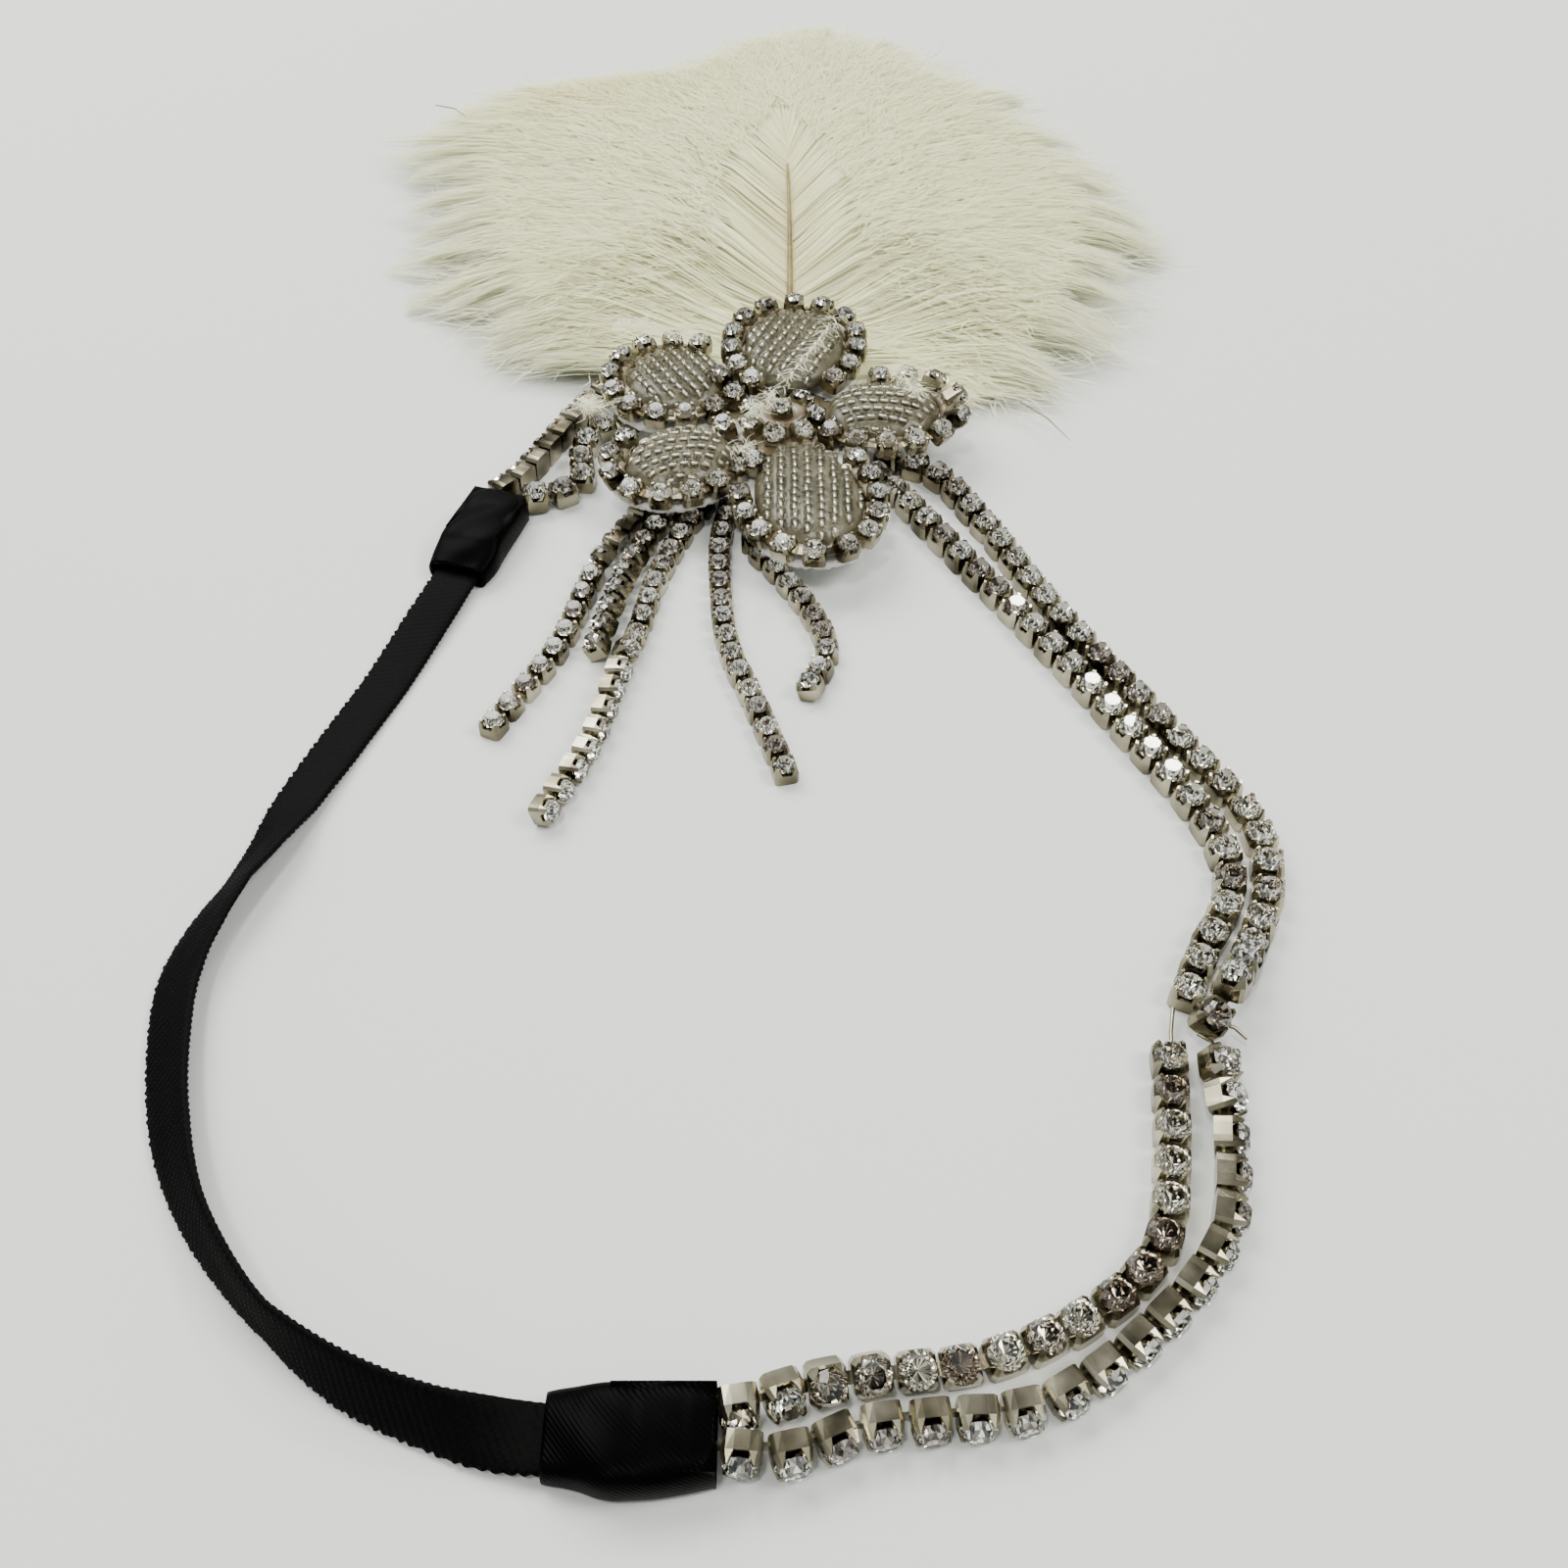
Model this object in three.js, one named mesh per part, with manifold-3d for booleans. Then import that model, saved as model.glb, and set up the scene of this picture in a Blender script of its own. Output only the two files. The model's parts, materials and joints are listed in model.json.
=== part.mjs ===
// Flapper headband: a loop of rhinestone cup chain and black elastic, two satin
// wraps over the joins, a five-petal beaded flower with a chain fringe, and an
// ostrich plume behind it. It lies on a table as it was put down.
// Millimetres, +Z up, the middle of the flower at x = 0, y = 0 until the last step.
import * as THREE from 'three';
import { ConvexGeometry } from 'three/addons/geometries/ConvexGeometry.js';
import { mergeVertices } from 'three/addons/utils/BufferGeometryUtils.js';
import Module from 'manifold-3d';

const wasm = await Module();
wasm.setup();

// Clearance that two touching pieces keep.
const GAP = 0.3;

// Cup chains. cup: side of the square metal cup; pitch: spacing of the stones;
// deep: depth of the cup; tall: from its back to the stone's table;
// table: width of the table; link: width of the strip from cup to cup.
const CHAIN = {
  band: { cup: 4.1, pitch: 4.7, deep: 2.6, tall: 3.9, table: 2.3, link: 1.4 },
  fringe: { cup: 3.4, pitch: 4.15, deep: 2.1, tall: 3.2, table: 1.9, link: 1.2 },
  rim: { cup: 3.6, pitch: 4.85, deep: 2.2, tall: 3.3, table: 2.0, link: 1.3 },
};
const LINK_THICK = 0.6;
const STONE_SIDES = 8;

// Elastic.
const ELASTIC_WIDTH = 7;
const ELASTIC_THICK = 1.2;
const ELASTIC_STEPS = 44;

// Satin wraps, wound round the ends of the chains and the elastic. start, end:
// shares of the wrap's length from its middle; ceiling: height of the pocket.
const WRAP_LENGTH = 17;
const WRAP_WALL = 0.5;
const WRAP_HEIGHT = 5.8;
const CHAIN_POCKET = { start: -0.12, ceiling: 5.2 };
const ELASTIC_POCKET = { end: 0, ceiling: 3 };

// Flower. PETAL_REACH: from the flower's middle to a petal's middle.
const FELT_THICK = 1.2;
const FELT_MARGIN = 1.9;
const PETAL_REACH = 20;
const PETAL_LONG = 24;
const PETAL_WIDE = 20;
const PETAL_SIDES = 16;
const FELT_MIDDLE = PETAL_REACH - PETAL_LONG / 3;
const PAD_THICK = 1.6;
const PAD_CROWN = 2.2;
const RIM_LEAN = 8;
const RIM_SAMPLES = 120;

// Heart of the flower.
const HEART = { x: -0.4, y: 0.4, radius: 6.1, crown: 3.05, rise: 2.4, sides: 14 };
const HEART_RING = { stones: 7, radius: 4.6, seat: 1, lean: 28 };

// Plume. FLOWER_CLEAR: radius within which it stays thin, under the flower.
const PLUME_HEIGHT = 14;
const PLUME_REACH = 80;
const PLUME_SWELL = 24;
const FLOWER_CLEAR = 34;
const TIP_THICK = 1.4;
const LOCK_NOTCH = 0.15;
const LOCK_FOLD = 0.16;
const LOCK_BOW = 0.1;
const LOCK_LINES = 4;
const FIRST_ROOT = 0.12;

// Quill of the plume. start: from the flower's middle to its foot; climb: the
// stretch over which it rises to top; bow: how far it bends to the side.
const QUILL = { radius: 0.9, tip: 0.36, length: 92, start: 3, climb: 46, top: 10, bow: 1.1 };
const QUILL_STEPS = 12;
const QUILL_SIDES = 6;

// Heights and widths that follow from the pieces below.
const FELT_Z = CHAIN.band.tall + GAP;
const PETAL_Z = FELT_Z + FELT_THICK + GAP;
const PLUME_UNDER = FELT_Z - GAP;
const PAD_INSET = CHAIN.rim.cup / 2 + GAP;
const WRAP_WIDTH = 2 * (CHAIN.band.cup + WRAP_WALL + GAP);

const FINISH = {
  stones: { color: 0xc4bdad, roughness: 0.25, metalness: 0.8 },
  elastic: { color: 0x0b0b0c, roughness: 0.9, metalness: 0 },
  satin: { color: 0x101012, roughness: 0.45, metalness: 0 },
  beads: { color: 0xdedccb, roughness: 0.5, metalness: 0 },
  felt: { color: 0xe6e3d8, roughness: 0.95, metalness: 0 },
  feather: { color: 0xeeebdc, roughness: 0.9, metalness: 0 },
};

// Routes of the chains, in order from the flower. x, y: place on the table;
// lift: height of the cup above the table; roll: degrees that the stones turn
// about the chain, so that 0 faces up, 90 and -90 lie on one side.
const ROUTES = {
  band_chain_upper_outer: {
    kind: 'band',
    points: [
      { x: 17.2, y: -2.6, lift: 0, roll: 0 }, { x: 24.6, y: -6.9, lift: 0, roll: 0 },
      { x: 31.2, y: -18.9, lift: 0, roll: 0 }, { x: 40.4, y: -40.4, lift: 0, roll: 0 },
      { x: 53.6, y: -65.6, lift: 0, roll: 0 }, { x: 61.9, y: -82.8, lift: 0, roll: 0 },
      { x: 61.8, y: -93.0, lift: 0, roll: 0 }, { x: 57.0, y: -104.0, lift: 0, roll: 4 },
      { x: 53.8, y: -109.6, lift: 2.2, roll: 8 }, { x: 50.2, y: -114.4, lift: 4.6, roll: 14 },
    ],
  },
  band_chain_upper_inner: {
    kind: 'band',
    points: [
      { x: 15.2, y: -7.2, lift: 0, roll: 0 }, { x: 18.6, y: -12.4, lift: 0, roll: 0 },
      { x: 26.1, y: -25.6, lift: 0, roll: 0 }, { x: 35.4, y: -41.9, lift: 0, roll: 0 },
      { x: 46.4, y: -62.5, lift: 0, roll: 0 }, { x: 56.4, y: -84.0, lift: 0, roll: 0 },
      { x: 56.9, y: -93.0, lift: 0, roll: 0 }, { x: 51.2, y: -104.4, lift: 0, roll: 0 },
      { x: 46.8, y: -113.8, lift: 0, roll: 0 },
    ],
  },
  band_chain_lower_inner: {
    kind: 'band',
    points: [
      { x: 45.0, y: -119.2, lift: 0, roll: 0 }, { x: 43.3, y: -131.8, lift: 0, roll: 0 },
      { x: 40.4, y: -142.4, lift: 0, roll: 0 }, { x: 33.6, y: -149.2, lift: 0, roll: 0 },
      { x: 20.8, y: -155.2, lift: 0, roll: -8 }, { x: 7.2, y: -157.4, lift: 0, roll: -34 },
      { x: -4.8, y: -160.8, lift: 0.7, roll: -89 }, { x: -13.6, y: -160.9, lift: 0.7, roll: -90 },
    ],
  },
  band_chain_lower_outer: {
    kind: 'band',
    points: [
      { x: 50.8, y: -120.2, lift: 0, roll: -30 }, { x: 50.1, y: -130.2, lift: 0, roll: -80 },
      { x: 47.6, y: -141.2, lift: 0, roll: -90 }, { x: 38.6, y: -151.8, lift: 0, roll: -90 },
      { x: 25.6, y: -160.2, lift: 0, roll: -90 }, { x: 8.4, y: -162.4, lift: 0, roll: -90 },
      { x: 0.6, y: -165.1, lift: 0.4, roll: -90 }, { x: -5.4, y: -165.1, lift: 0.7, roll: -90 },
      { x: -13.6, y: -165.1, lift: 0.7, roll: -90 },
    ],
  },
  side_chain_back: {
    kind: 'band',
    points: [
      { x: -31.3, y: 15.4, lift: 0, roll: 80 }, { x: -34.6, y: 10.4, lift: 0, roll: 84 },
      { x: -38.6, y: 1.8, lift: 0, roll: 88 }, { x: -43.0, y: -8.4, lift: 0.2, roll: 90 },
      { x: -46.7, y: -14.5, lift: 0.7, roll: 90 }, { x: -48.5, y: -20.5, lift: 0.7, roll: 90 },
    ],
  },
  side_chain_front: {
    kind: 'band',
    points: [
      { x: -26.4, y: 8.4, lift: 0, roll: 0 }, { x: -31.4, y: 5.4, lift: 0, roll: 0 },
      { x: -33.4, y: -1.4, lift: 0, roll: 0 }, { x: -33.0, y: -8.6, lift: 0, roll: 0 },
      { x: -36.8, y: -12.6, lift: 0.2, roll: 0 }, { x: -41.9, y: -14.8, lift: 0.7, roll: 0 },
      { x: -44.5, y: -21.8, lift: 0.8, roll: 0 },
    ],
  },
  fringe_1: {
    kind: 'fringe',
    points: [
      { x: -21.4, y: -13.2, lift: 0, roll: 80 }, { x: -24.4, y: -19.8, lift: 0, roll: 90 },
      { x: -27.4, y: -26.6, lift: 0, roll: 74 }, { x: -29.4, y: -32.6, lift: 0, roll: 6 },
      { x: -33.0, y: -47.6, lift: 0, roll: 0 }, { x: -40.6, y: -63.9, lift: 0, roll: 0 },
    ],
  },
  fringe_2: {
    kind: 'fringe',
    points: [
      { x: -16.2, y: -13.0, lift: 0, roll: 0 }, { x: -20.0, y: -19.6, lift: 0, roll: 0 },
      { x: -22.4, y: -25.8, lift: 0, roll: 14 }, { x: -24.2, y: -32.0, lift: 0, roll: 40 },
      { x: -26.0, y: -39.6, lift: 0, roll: 38 }, { x: -27.5, y: -48.2, lift: 0, roll: 30 },
    ],
  },
  fringe_3: {
    kind: 'fringe',
    points: [
      { x: -13.0, y: -14.8, lift: 0, roll: 0 }, { x: -15.4, y: -20.2, lift: 0, roll: 0 },
      { x: -19.3, y: -32.2, lift: 0, roll: 0 }, { x: -21.6, y: -45.2, lift: 0, roll: -10 },
      { x: -23.6, y: -54.0, lift: 0, roll: -80 }, { x: -26.6, y: -68.0, lift: 0, roll: -90 },
      { x: -31.4, y: -80.5, lift: 0, roll: -74 },
    ],
  },
  fringe_4: {
    kind: 'fringe',
    points: [
      { x: -8.6, y: -13.8, lift: 0, roll: 0 }, { x: -10.0, y: -23.6, lift: 0, roll: 0 },
      { x: -9.6, y: -35.6, lift: 0, roll: 0 }, { x: -8.1, y: -47.8, lift: 0, roll: 0 },
      { x: -3.9, y: -60.2, lift: 0, roll: 0 }, { x: 0.1, y: -72.5, lift: 0, roll: 0 },
    ],
  },
  fringe_5: {
    kind: 'fringe',
    points: [
      { x: -3.6, y: -15.6, lift: 0, roll: 0 }, { x: -4.9, y: -24.4, lift: 0, roll: 0 },
      { x: -1.4, y: -30.2, lift: 0, roll: 0 }, { x: 4.2, y: -40.8, lift: 0, roll: 0 },
      { x: 6.3, y: -48.6, lift: 0, roll: 0 }, { x: 3.6, y: -56.6, lift: 0, roll: 18 },
    ],
  },
};

// Route of the elastic from the upper wrap to the lower one. It leans further and
// further on its outer edge along the left of the loop and lies flat in the wraps.
const ELASTIC_ROUTE = [
  { x: -47.7, y: -25.0, lift: 1.2, roll: 0 },
  { x: -49.9, y: -31.9, lift: 1.1, roll: 0 },
  { x: -52.8, y: -41.4, lift: 0.6, roll: -4 },
  { x: -57.4, y: -55.6, lift: 0, roll: 0 },
  { x: -62.3, y: -69.4, lift: 0, roll: 2 },
  { x: -65.4, y: -79.1, lift: 0, roll: 10 },
  { x: -67.2, y: -86.6, lift: 0, roll: 32 },
  { x: -69.4, y: -93.2, lift: 0, roll: 44 },
  { x: -71.8, y: -99.6, lift: 0, roll: 34 },
  { x: -73.3, y: -107.4, lift: 0, roll: 28 },
  { x: -71.8, y: -118.9, lift: 0, roll: 34 },
  { x: -68.6, y: -129.8, lift: 0, roll: 42 },
  { x: -64.0, y: -139.0, lift: 0, roll: 59 },
  { x: -58.2, y: -146.6, lift: 0, roll: 71 },
  { x: -53.0, y: -151.8, lift: 0, roll: 78 },
  { x: -44.2, y: -157.8, lift: 0, roll: 60 },
  { x: -34.6, y: -161.6, lift: 0, roll: 50 },
  { x: -28.8, y: -162.8, lift: 0.4, roll: 26 },
  { x: -24.4, y: -163.1, lift: 1.0, roll: 4 },
  { x: -17.0, y: -163.1, lift: 1.2, roll: 0 },
];

// Satin wraps. x, y: middle of the wrap; bearing: degrees from +x to the end
// where the chains go in. sections: along is a share of the length from the
// elastic's end; wide, high: shares of the width and height; side: a shift
// to the left of the bearing as a share of the width.
const WRAPS = {
  ribbon_wrap_upper: {
    x: -47.4, y: -24.0, bearing: 72,
    sections: [
      { along: -0.50, wide: 1.00, high: 0.66, side: 0.00 },
      { along: -0.30, wide: 1.06, high: 0.88, side: -0.02 },
      { along: -0.12, wide: 1.04, high: 1.00, side: 0.00 },
      { along: 0.50, wide: 0.98, high: 0.98, side: 0.00 },
    ],
  },
  ribbon_wrap_lower: {
    x: -15.1, y: -163.0, bearing: 0,
    sections: [
      { along: -0.50, wide: 0.94, high: 0.66, side: 0.02 },
      { along: -0.32, wide: 0.96, high: 0.86, side: 0.00 },
      { along: -0.13, wide: 1.12, high: 1.00, side: -0.05 },
      { along: 0.14, wide: 1.10, high: 1.00, side: -0.04 },
      { along: 0.50, wide: 0.98, high: 0.97, side: 0.00 },
    ],
  },
};

// One side of a wrap's section, from its foot to its crown.
// across: share of the width; high: share of the height.
const WRAP_SIDE = [
  { across: 0.42, high: 0.00 },
  { across: 0.50, high: 0.14 },
  { across: 0.50, high: 0.86 },
  { across: 0.45, high: 0.97 },
  { across: 0.20, high: 1.00 },
];

// Petals. bearing: degrees from +x; reach, long, wide: shares of the named
// petal sizes; pinch: how much wider the outer half is; lift: height above the
// felt as a share of the pad's thickness; curl: degrees that the stones at the
// tip lean out; from, to: the part of the edge that carries stones, in degrees
// from the tip; felt: how far the felt shows past the stones' line, as a share
// of its margin.
const PETALS = [
  {
    name: 'top', bearing: 85, reach: 0.94, long: 1.08, wide: 1.05, pinch: 0.10,
    lift: 1.0, curl: 20, from: -132, to: 142, felt: 0.5,
  },
  {
    name: 'upper_left', bearing: 148.4, reach: 1.06, long: 0.87, wide: 1.05, pinch: 0.04,
    lift: 0.3, curl: 24, from: -78, to: 186, felt: 0.5,
  },
  {
    name: 'lower_left', bearing: 211, reach: 0.965, long: 0.92, wide: 0.90, pinch: 0.06,
    lift: 0, curl: 24, from: -60, to: 150, felt: 0.5,
  },
  {
    name: 'bottom', bearing: 281, reach: 0.965, long: 1.22, wide: 1.04, pinch: 0.06,
    lift: 0, curl: 16, from: -93, to: 116, felt: 0.5,
  },
  {
    name: 'right', bearing: 8, reach: 0.825, long: 0.945, wide: 0.90, pinch: 0.04,
    lift: 0.2, curl: 58, from: -146, to: 86, felt: -1,
  },
];

// Rings of a petal's pad above its foot. inset: distance in from the pad's
// edge; dome: share of the crown.
const PAD_RINGS = [
  { inset: 0, dome: 0 },
  { inset: 1.4, dome: 0.62 },
  { inset: 5, dome: 1 },
];

// Tips of the plume's locks, from the lower left round the top to the lower right.
// x, y: shares of the plume's reach, from the flower's middle;
// lift: height of the tip's underside as a share of the plume's height.
const LOCKS = [
  { x: -0.58, y: 0.25, lift: 0.00 },
  { x: -0.74, y: 0.43, lift: 0.00 },
  { x: -0.86, y: 0.66, lift: 0.03 },
  { x: -0.92, y: 0.94, lift: 0.10 },
  { x: -0.97, y: 1.27, lift: 0.22 },
  { x: -0.80, y: 1.45, lift: 0.40 },
  { x: -0.54, y: 1.49, lift: 0.50 },
  { x: -0.30, y: 1.51, lift: 0.55 },
  { x: -0.10, y: 1.69, lift: 0.62 },
  { x: 0.12, y: 1.78, lift: 0.62 },
  { x: 0.39, y: 1.63, lift: 0.55 },
  { x: 0.63, y: 1.43, lift: 0.40 },
  { x: 0.80, y: 1.14, lift: 0.20 },
  { x: 0.90, y: 0.86, lift: 0.06 },
  { x: 0.87, y: 0.57, lift: 0.00 },
  { x: 0.73, y: 0.32, lift: 0.00 },
  { x: 0.50, y: 0.10, lift: 0.00 },
];

// Shares of a lock's length at which it is drawn.
const LOCK_RINGS = [0.18, 0.48, 0.80, 1];

const UP = new THREE.Vector3(0, 0, 1);
const LEFT_ON_TABLE = new THREE.Vector3(-1, 0, 0);
const radians = THREE.MathUtils.degToRad;
const { lerp, smoothstep } = THREE.MathUtils;
const group = new THREE.Group();

function addPiece(name, geometry, finish) {
  const mesh = new THREE.Mesh(geometry, new THREE.MeshStandardMaterial(finish));
  mesh.name = name;
  group.add(mesh);
}

// A closed geometry becomes a solid that can be joined and cut.
function solid(geometry) {
  const bare = geometry.clone();
  bare.deleteAttribute('normal');
  bare.deleteAttribute('uv');
  const merged = mergeVertices(bare, 1e-4);
  return new wasm.Manifold(new wasm.Mesh({
    numProp: 3,
    vertProperties: new Float32Array(merged.attributes.position.array),
    triVerts: new Uint32Array(merged.index.array),
  }));
}

function geometryOf(manifold) {
  const mesh = manifold.getMesh();
  const geometry = new THREE.BufferGeometry();
  geometry.setAttribute('position', new THREE.BufferAttribute(mesh.vertProperties, 3));
  geometry.setIndex(new THREE.BufferAttribute(mesh.triVerts, 1));
  geometry.computeVertexNormals();
  return geometry;
}

function join(solids) {
  return solids.reduce((whole, piece) => whole.add(piece));
}

function skin(points, faces) {
  const geometry = new THREE.BufferGeometry().setFromPoints(points);
  geometry.setIndex(faces);
  geometry.computeVertexNormals();
  return geometry;
}

// A closed skin through rings that hold the same number of points, each ring
// counter-clockwise seen from the end of the loft.
function loft(rings) {
  const count = rings[0].length;
  const faces = [];
  for (let r = 0; r + 1 < rings.length; r += 1) {
    for (let i = 0; i < count; i += 1) {
      const a = r * count + i;
      const b = r * count + ((i + 1) % count);
      faces.push(a, b, b + count, a, b + count, a + count);
    }
  }
  const last = (rings.length - 1) * count;
  for (let i = 1; i + 1 < count; i += 1) {
    faces.push(0, i + 1, i, last, last + i, last + i + 1);
  }
  return skin(rings.flat(), faces);
}

// Directions on the table along a bearing and to the left of it.
function bearingAxes(degrees) {
  const along = new THREE.Vector3(1, 0, 0).applyAxisAngle(UP, radians(degrees));
  return { along, left: new THREE.Vector3().crossVectors(UP, along) };
}

// A smooth route over the table; its height is the route's lift.
function routeCurve(points) {
  const curve = new THREE.CatmullRomCurve3(points.map((p) => new THREE.Vector3(p.x, p.y, p.lift)));
  curve.arcLengthDivisions = 600;
  return curve;
}

function rollAt(points, curve, share) {
  const t = curve.getUtoTmapping(share) * (points.length - 1);
  const row = Math.min(Math.floor(t), points.length - 2);
  return radians(lerp(points[row].roll, points[row + 1].roll, t - row));
}

// The axes of a chain or band at one place of its route: along, across and out.
function frameAt(points, curve, share) {
  const middle = curve.getPointAt(share);
  const along = curve.getTangentAt(share);
  const roll = rollAt(points, curve, share);
  const side = new THREE.Vector3().crossVectors(along, UP).normalize();
  const flat = new THREE.Vector3().crossVectors(side, along).normalize();
  const out = flat.multiplyScalar(Math.cos(roll)).addScaledVector(side, Math.sin(roll));
  const across = new THREE.Vector3().crossVectors(out, along).normalize();
  return { middle, along, across, out, roll, side };
}

// The axes of a stone that leans outward by an angle in degrees.
function leaningFrame(middle, outward, lean) {
  const along = new THREE.Vector3().crossVectors(UP, outward).normalize();
  const out = UP.clone().applyAxisAngle(along, radians(lean));
  const across = new THREE.Vector3().crossVectors(out, along).normalize();
  return { middle, along, across, out };
}

// A point of a frame from its distances along, across and out.
function place(frame, along, across, out) {
  return frame.middle.clone()
    .addScaledVector(frame.along, along)
    .addScaledVector(frame.across, across)
    .addScaledVector(frame.out, out);
}

const CORNERS = [[1, 1], [-1, 1], [-1, -1], [1, -1]];

// One stone in its cup: square back, round girdle, eight facets and a square table.
function cupAndStone(frame, size) {
  const half = size.cup / 2;
  const table = size.table / 2;
  const girdle = half / Math.cos(Math.PI / STONE_SIDES);
  const points = [];
  for (const [u, v] of CORNERS) {
    points.push(place(frame, u * half, v * half, 0));
    points.push(place(frame, u * table, v * table, size.tall));
  }
  for (let i = 0; i < STONE_SIDES; i += 1) {
    const angle = ((i + 0.5) / STONE_SIDES) * 2 * Math.PI;
    points.push(place(frame, girdle * Math.cos(angle), girdle * Math.sin(angle), size.deep));
  }
  return solid(new ConvexGeometry(points));
}

// The narrow strip of metal between two neighbouring cups, near their backs.
function link(from, to, size) {
  const low = LINK_THICK / 2;
  const points = [from, to].flatMap((frame) => [
    place(frame, 0, -size.link / 2, low),
    place(frame, 0, size.link / 2, low),
    place(frame, 0, 0, low + LINK_THICK),
  ]);
  return solid(new ConvexGeometry(points));
}

// Cups and links fused into one string of stones.
function stoneString(frames, size) {
  const pieces = frames.map((frame) => cupAndStone(frame, size));
  for (let i = 0; i + 1 < frames.length; i += 1) {
    pieces.push(link(frames[i], frames[i + 1], size));
  }
  return join(pieces);
}

// Raises a section until its lowest corner is at the height that the route has
// there. across: its half width; low, high: where it starts and ends along out.
function settle(frame, across, low, high) {
  const lift = Math.max(0, frame.middle.z);
  const corners = [-across, across].flatMap((side) => (
    [place(frame, 0, side, low), place(frame, 0, side, high)]));
  frame.middle.z += lift - Math.min(...corners.map((corner) => corner.z));
}

// The frames of a chain that lies along a route. A rolled cup rests on its
// side, so its back moves out from the route by half the stone's height.
function chainFrames(route) {
  const size = CHAIN[route.kind];
  const curve = routeCurve(route.points);
  const steps = Math.round(curve.getLength() / size.pitch);
  const frames = [];
  for (let i = 0; i <= steps; i += 1) {
    const frame = frameAt(route.points, curve, i / steps);
    frame.middle.addScaledVector(frame.side, -Math.sin(frame.roll) * size.tall / 2);
    settle(frame, size.cup / 2, 0, size.deep);
    frame.middle.z += Math.abs(frame.along.z) * size.cup / 2;
    frames.push(frame);
  }
  return frames;
}

function addChains() {
  for (const [name, route] of Object.entries(ROUTES)) {
    const string = stoneString(chainFrames(route), CHAIN[route.kind]);
    addPiece(name, geometryOf(string), FINISH.stones);
  }
}

// The elastic is a flat band that turns about its own length.
function addElastic() {
  const curve = routeCurve(ELASTIC_ROUTE);
  const half = ELASTIC_WIDTH / 2;
  const thick = ELASTIC_THICK / 2;
  const rings = [];
  for (let i = 0; i <= ELASTIC_STEPS; i += 1) {
    const frame = frameAt(ELASTIC_ROUTE, curve, i / ELASTIC_STEPS);
    settle(frame, half, -thick, thick);
    rings.push(CORNERS.map(([u, v]) => place(frame, 0, u * half, v * thick)));
  }
  addPiece('elastic_band', loft(rings), FINISH.elastic);
}

// A wrap is a soft sleeve with a flat underside, open at both ends.
function sleeve(wrap) {
  const { along, left } = bearingAxes(wrap.bearing);
  const corner = (share, side, high) => new THREE.Vector3(wrap.x, wrap.y, high)
    .addScaledVector(along, share * WRAP_LENGTH)
    .addScaledVector(left, side);
  const crown = WRAP_SIDE.map((p) => ({ across: -p.across, high: p.high })).reverse();
  const outline = [...WRAP_SIDE, ...crown];
  const rings = wrap.sections.map((s) => outline.map((p) => (
    corner(s.along, (p.across * s.wide + s.side) * WRAP_WIDTH, p.high * s.high * WRAP_HEIGHT))));
  const pocket = (from, to, room, ceiling) => solid(loft([from, to].map((share) => [
    corner(share, room, WRAP_WALL),
    corner(share, room, ceiling),
    corner(share, -room, ceiling),
    corner(share, -room, WRAP_WALL),
  ])));
  const chains = pocket(CHAIN_POCKET.start, 1, WRAP_WIDTH / 2 - WRAP_WALL, CHAIN_POCKET.ceiling);
  const elastic = pocket(-1, ELASTIC_POCKET.end, ELASTIC_WIDTH / 2 + GAP, ELASTIC_POCKET.ceiling);
  return solid(loft(rings)).subtract(chains).subtract(elastic);
}

function addWraps() {
  for (const [name, wrap] of Object.entries(WRAPS)) {
    addPiece(name, geometryOf(sleeve(wrap)), FINISH.satin);
  }
}

// A place on the egg-shaped edge of a petal, moved in by inset, and the
// direction outward there.
function petalEdge(petal, degrees, inset) {
  const { along, left } = bearingAxes(petal.bearing);
  const angle = radians(degrees);
  const long = petal.long * PETAL_LONG / 2 - inset;
  const wide = petal.wide * PETAL_WIDE / 2 - inset;
  const ahead = petal.reach * PETAL_REACH + long * Math.cos(angle);
  const aside = wide * Math.sin(angle) * (1 + petal.pinch * Math.cos(angle));
  const point = new THREE.Vector3().addScaledVector(along, ahead).addScaledVector(left, aside);
  const outward = new THREE.Vector3()
    .addScaledVector(along, wide * Math.cos(angle))
    .addScaledVector(left, long * Math.sin(angle));
  return { point, outward: outward.normalize() };
}

function petalRing(petal, inset, height) {
  const ring = [];
  for (let i = 0; i < PETAL_SIDES; i += 1) {
    ring.push(petalEdge(petal, (i / PETAL_SIDES) * 360, inset).point.setZ(height));
  }
  return ring;
}

function petalFloor(petal) {
  return PETAL_Z + petal.lift * PAD_THICK;
}

// The beaded pad of a petal: flat below, domed above.
function addPad(petal) {
  const low = petalFloor(petal);
  const dome = PAD_RINGS.map((ring) => (
    petalRing(petal, PAD_INSET + ring.inset, low + PAD_THICK + ring.dome * PAD_CROWN)));
  addPiece(`petal_${petal.name}`, loft([petalRing(petal, PAD_INSET, low), ...dome]), FINISH.beads);
}

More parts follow.
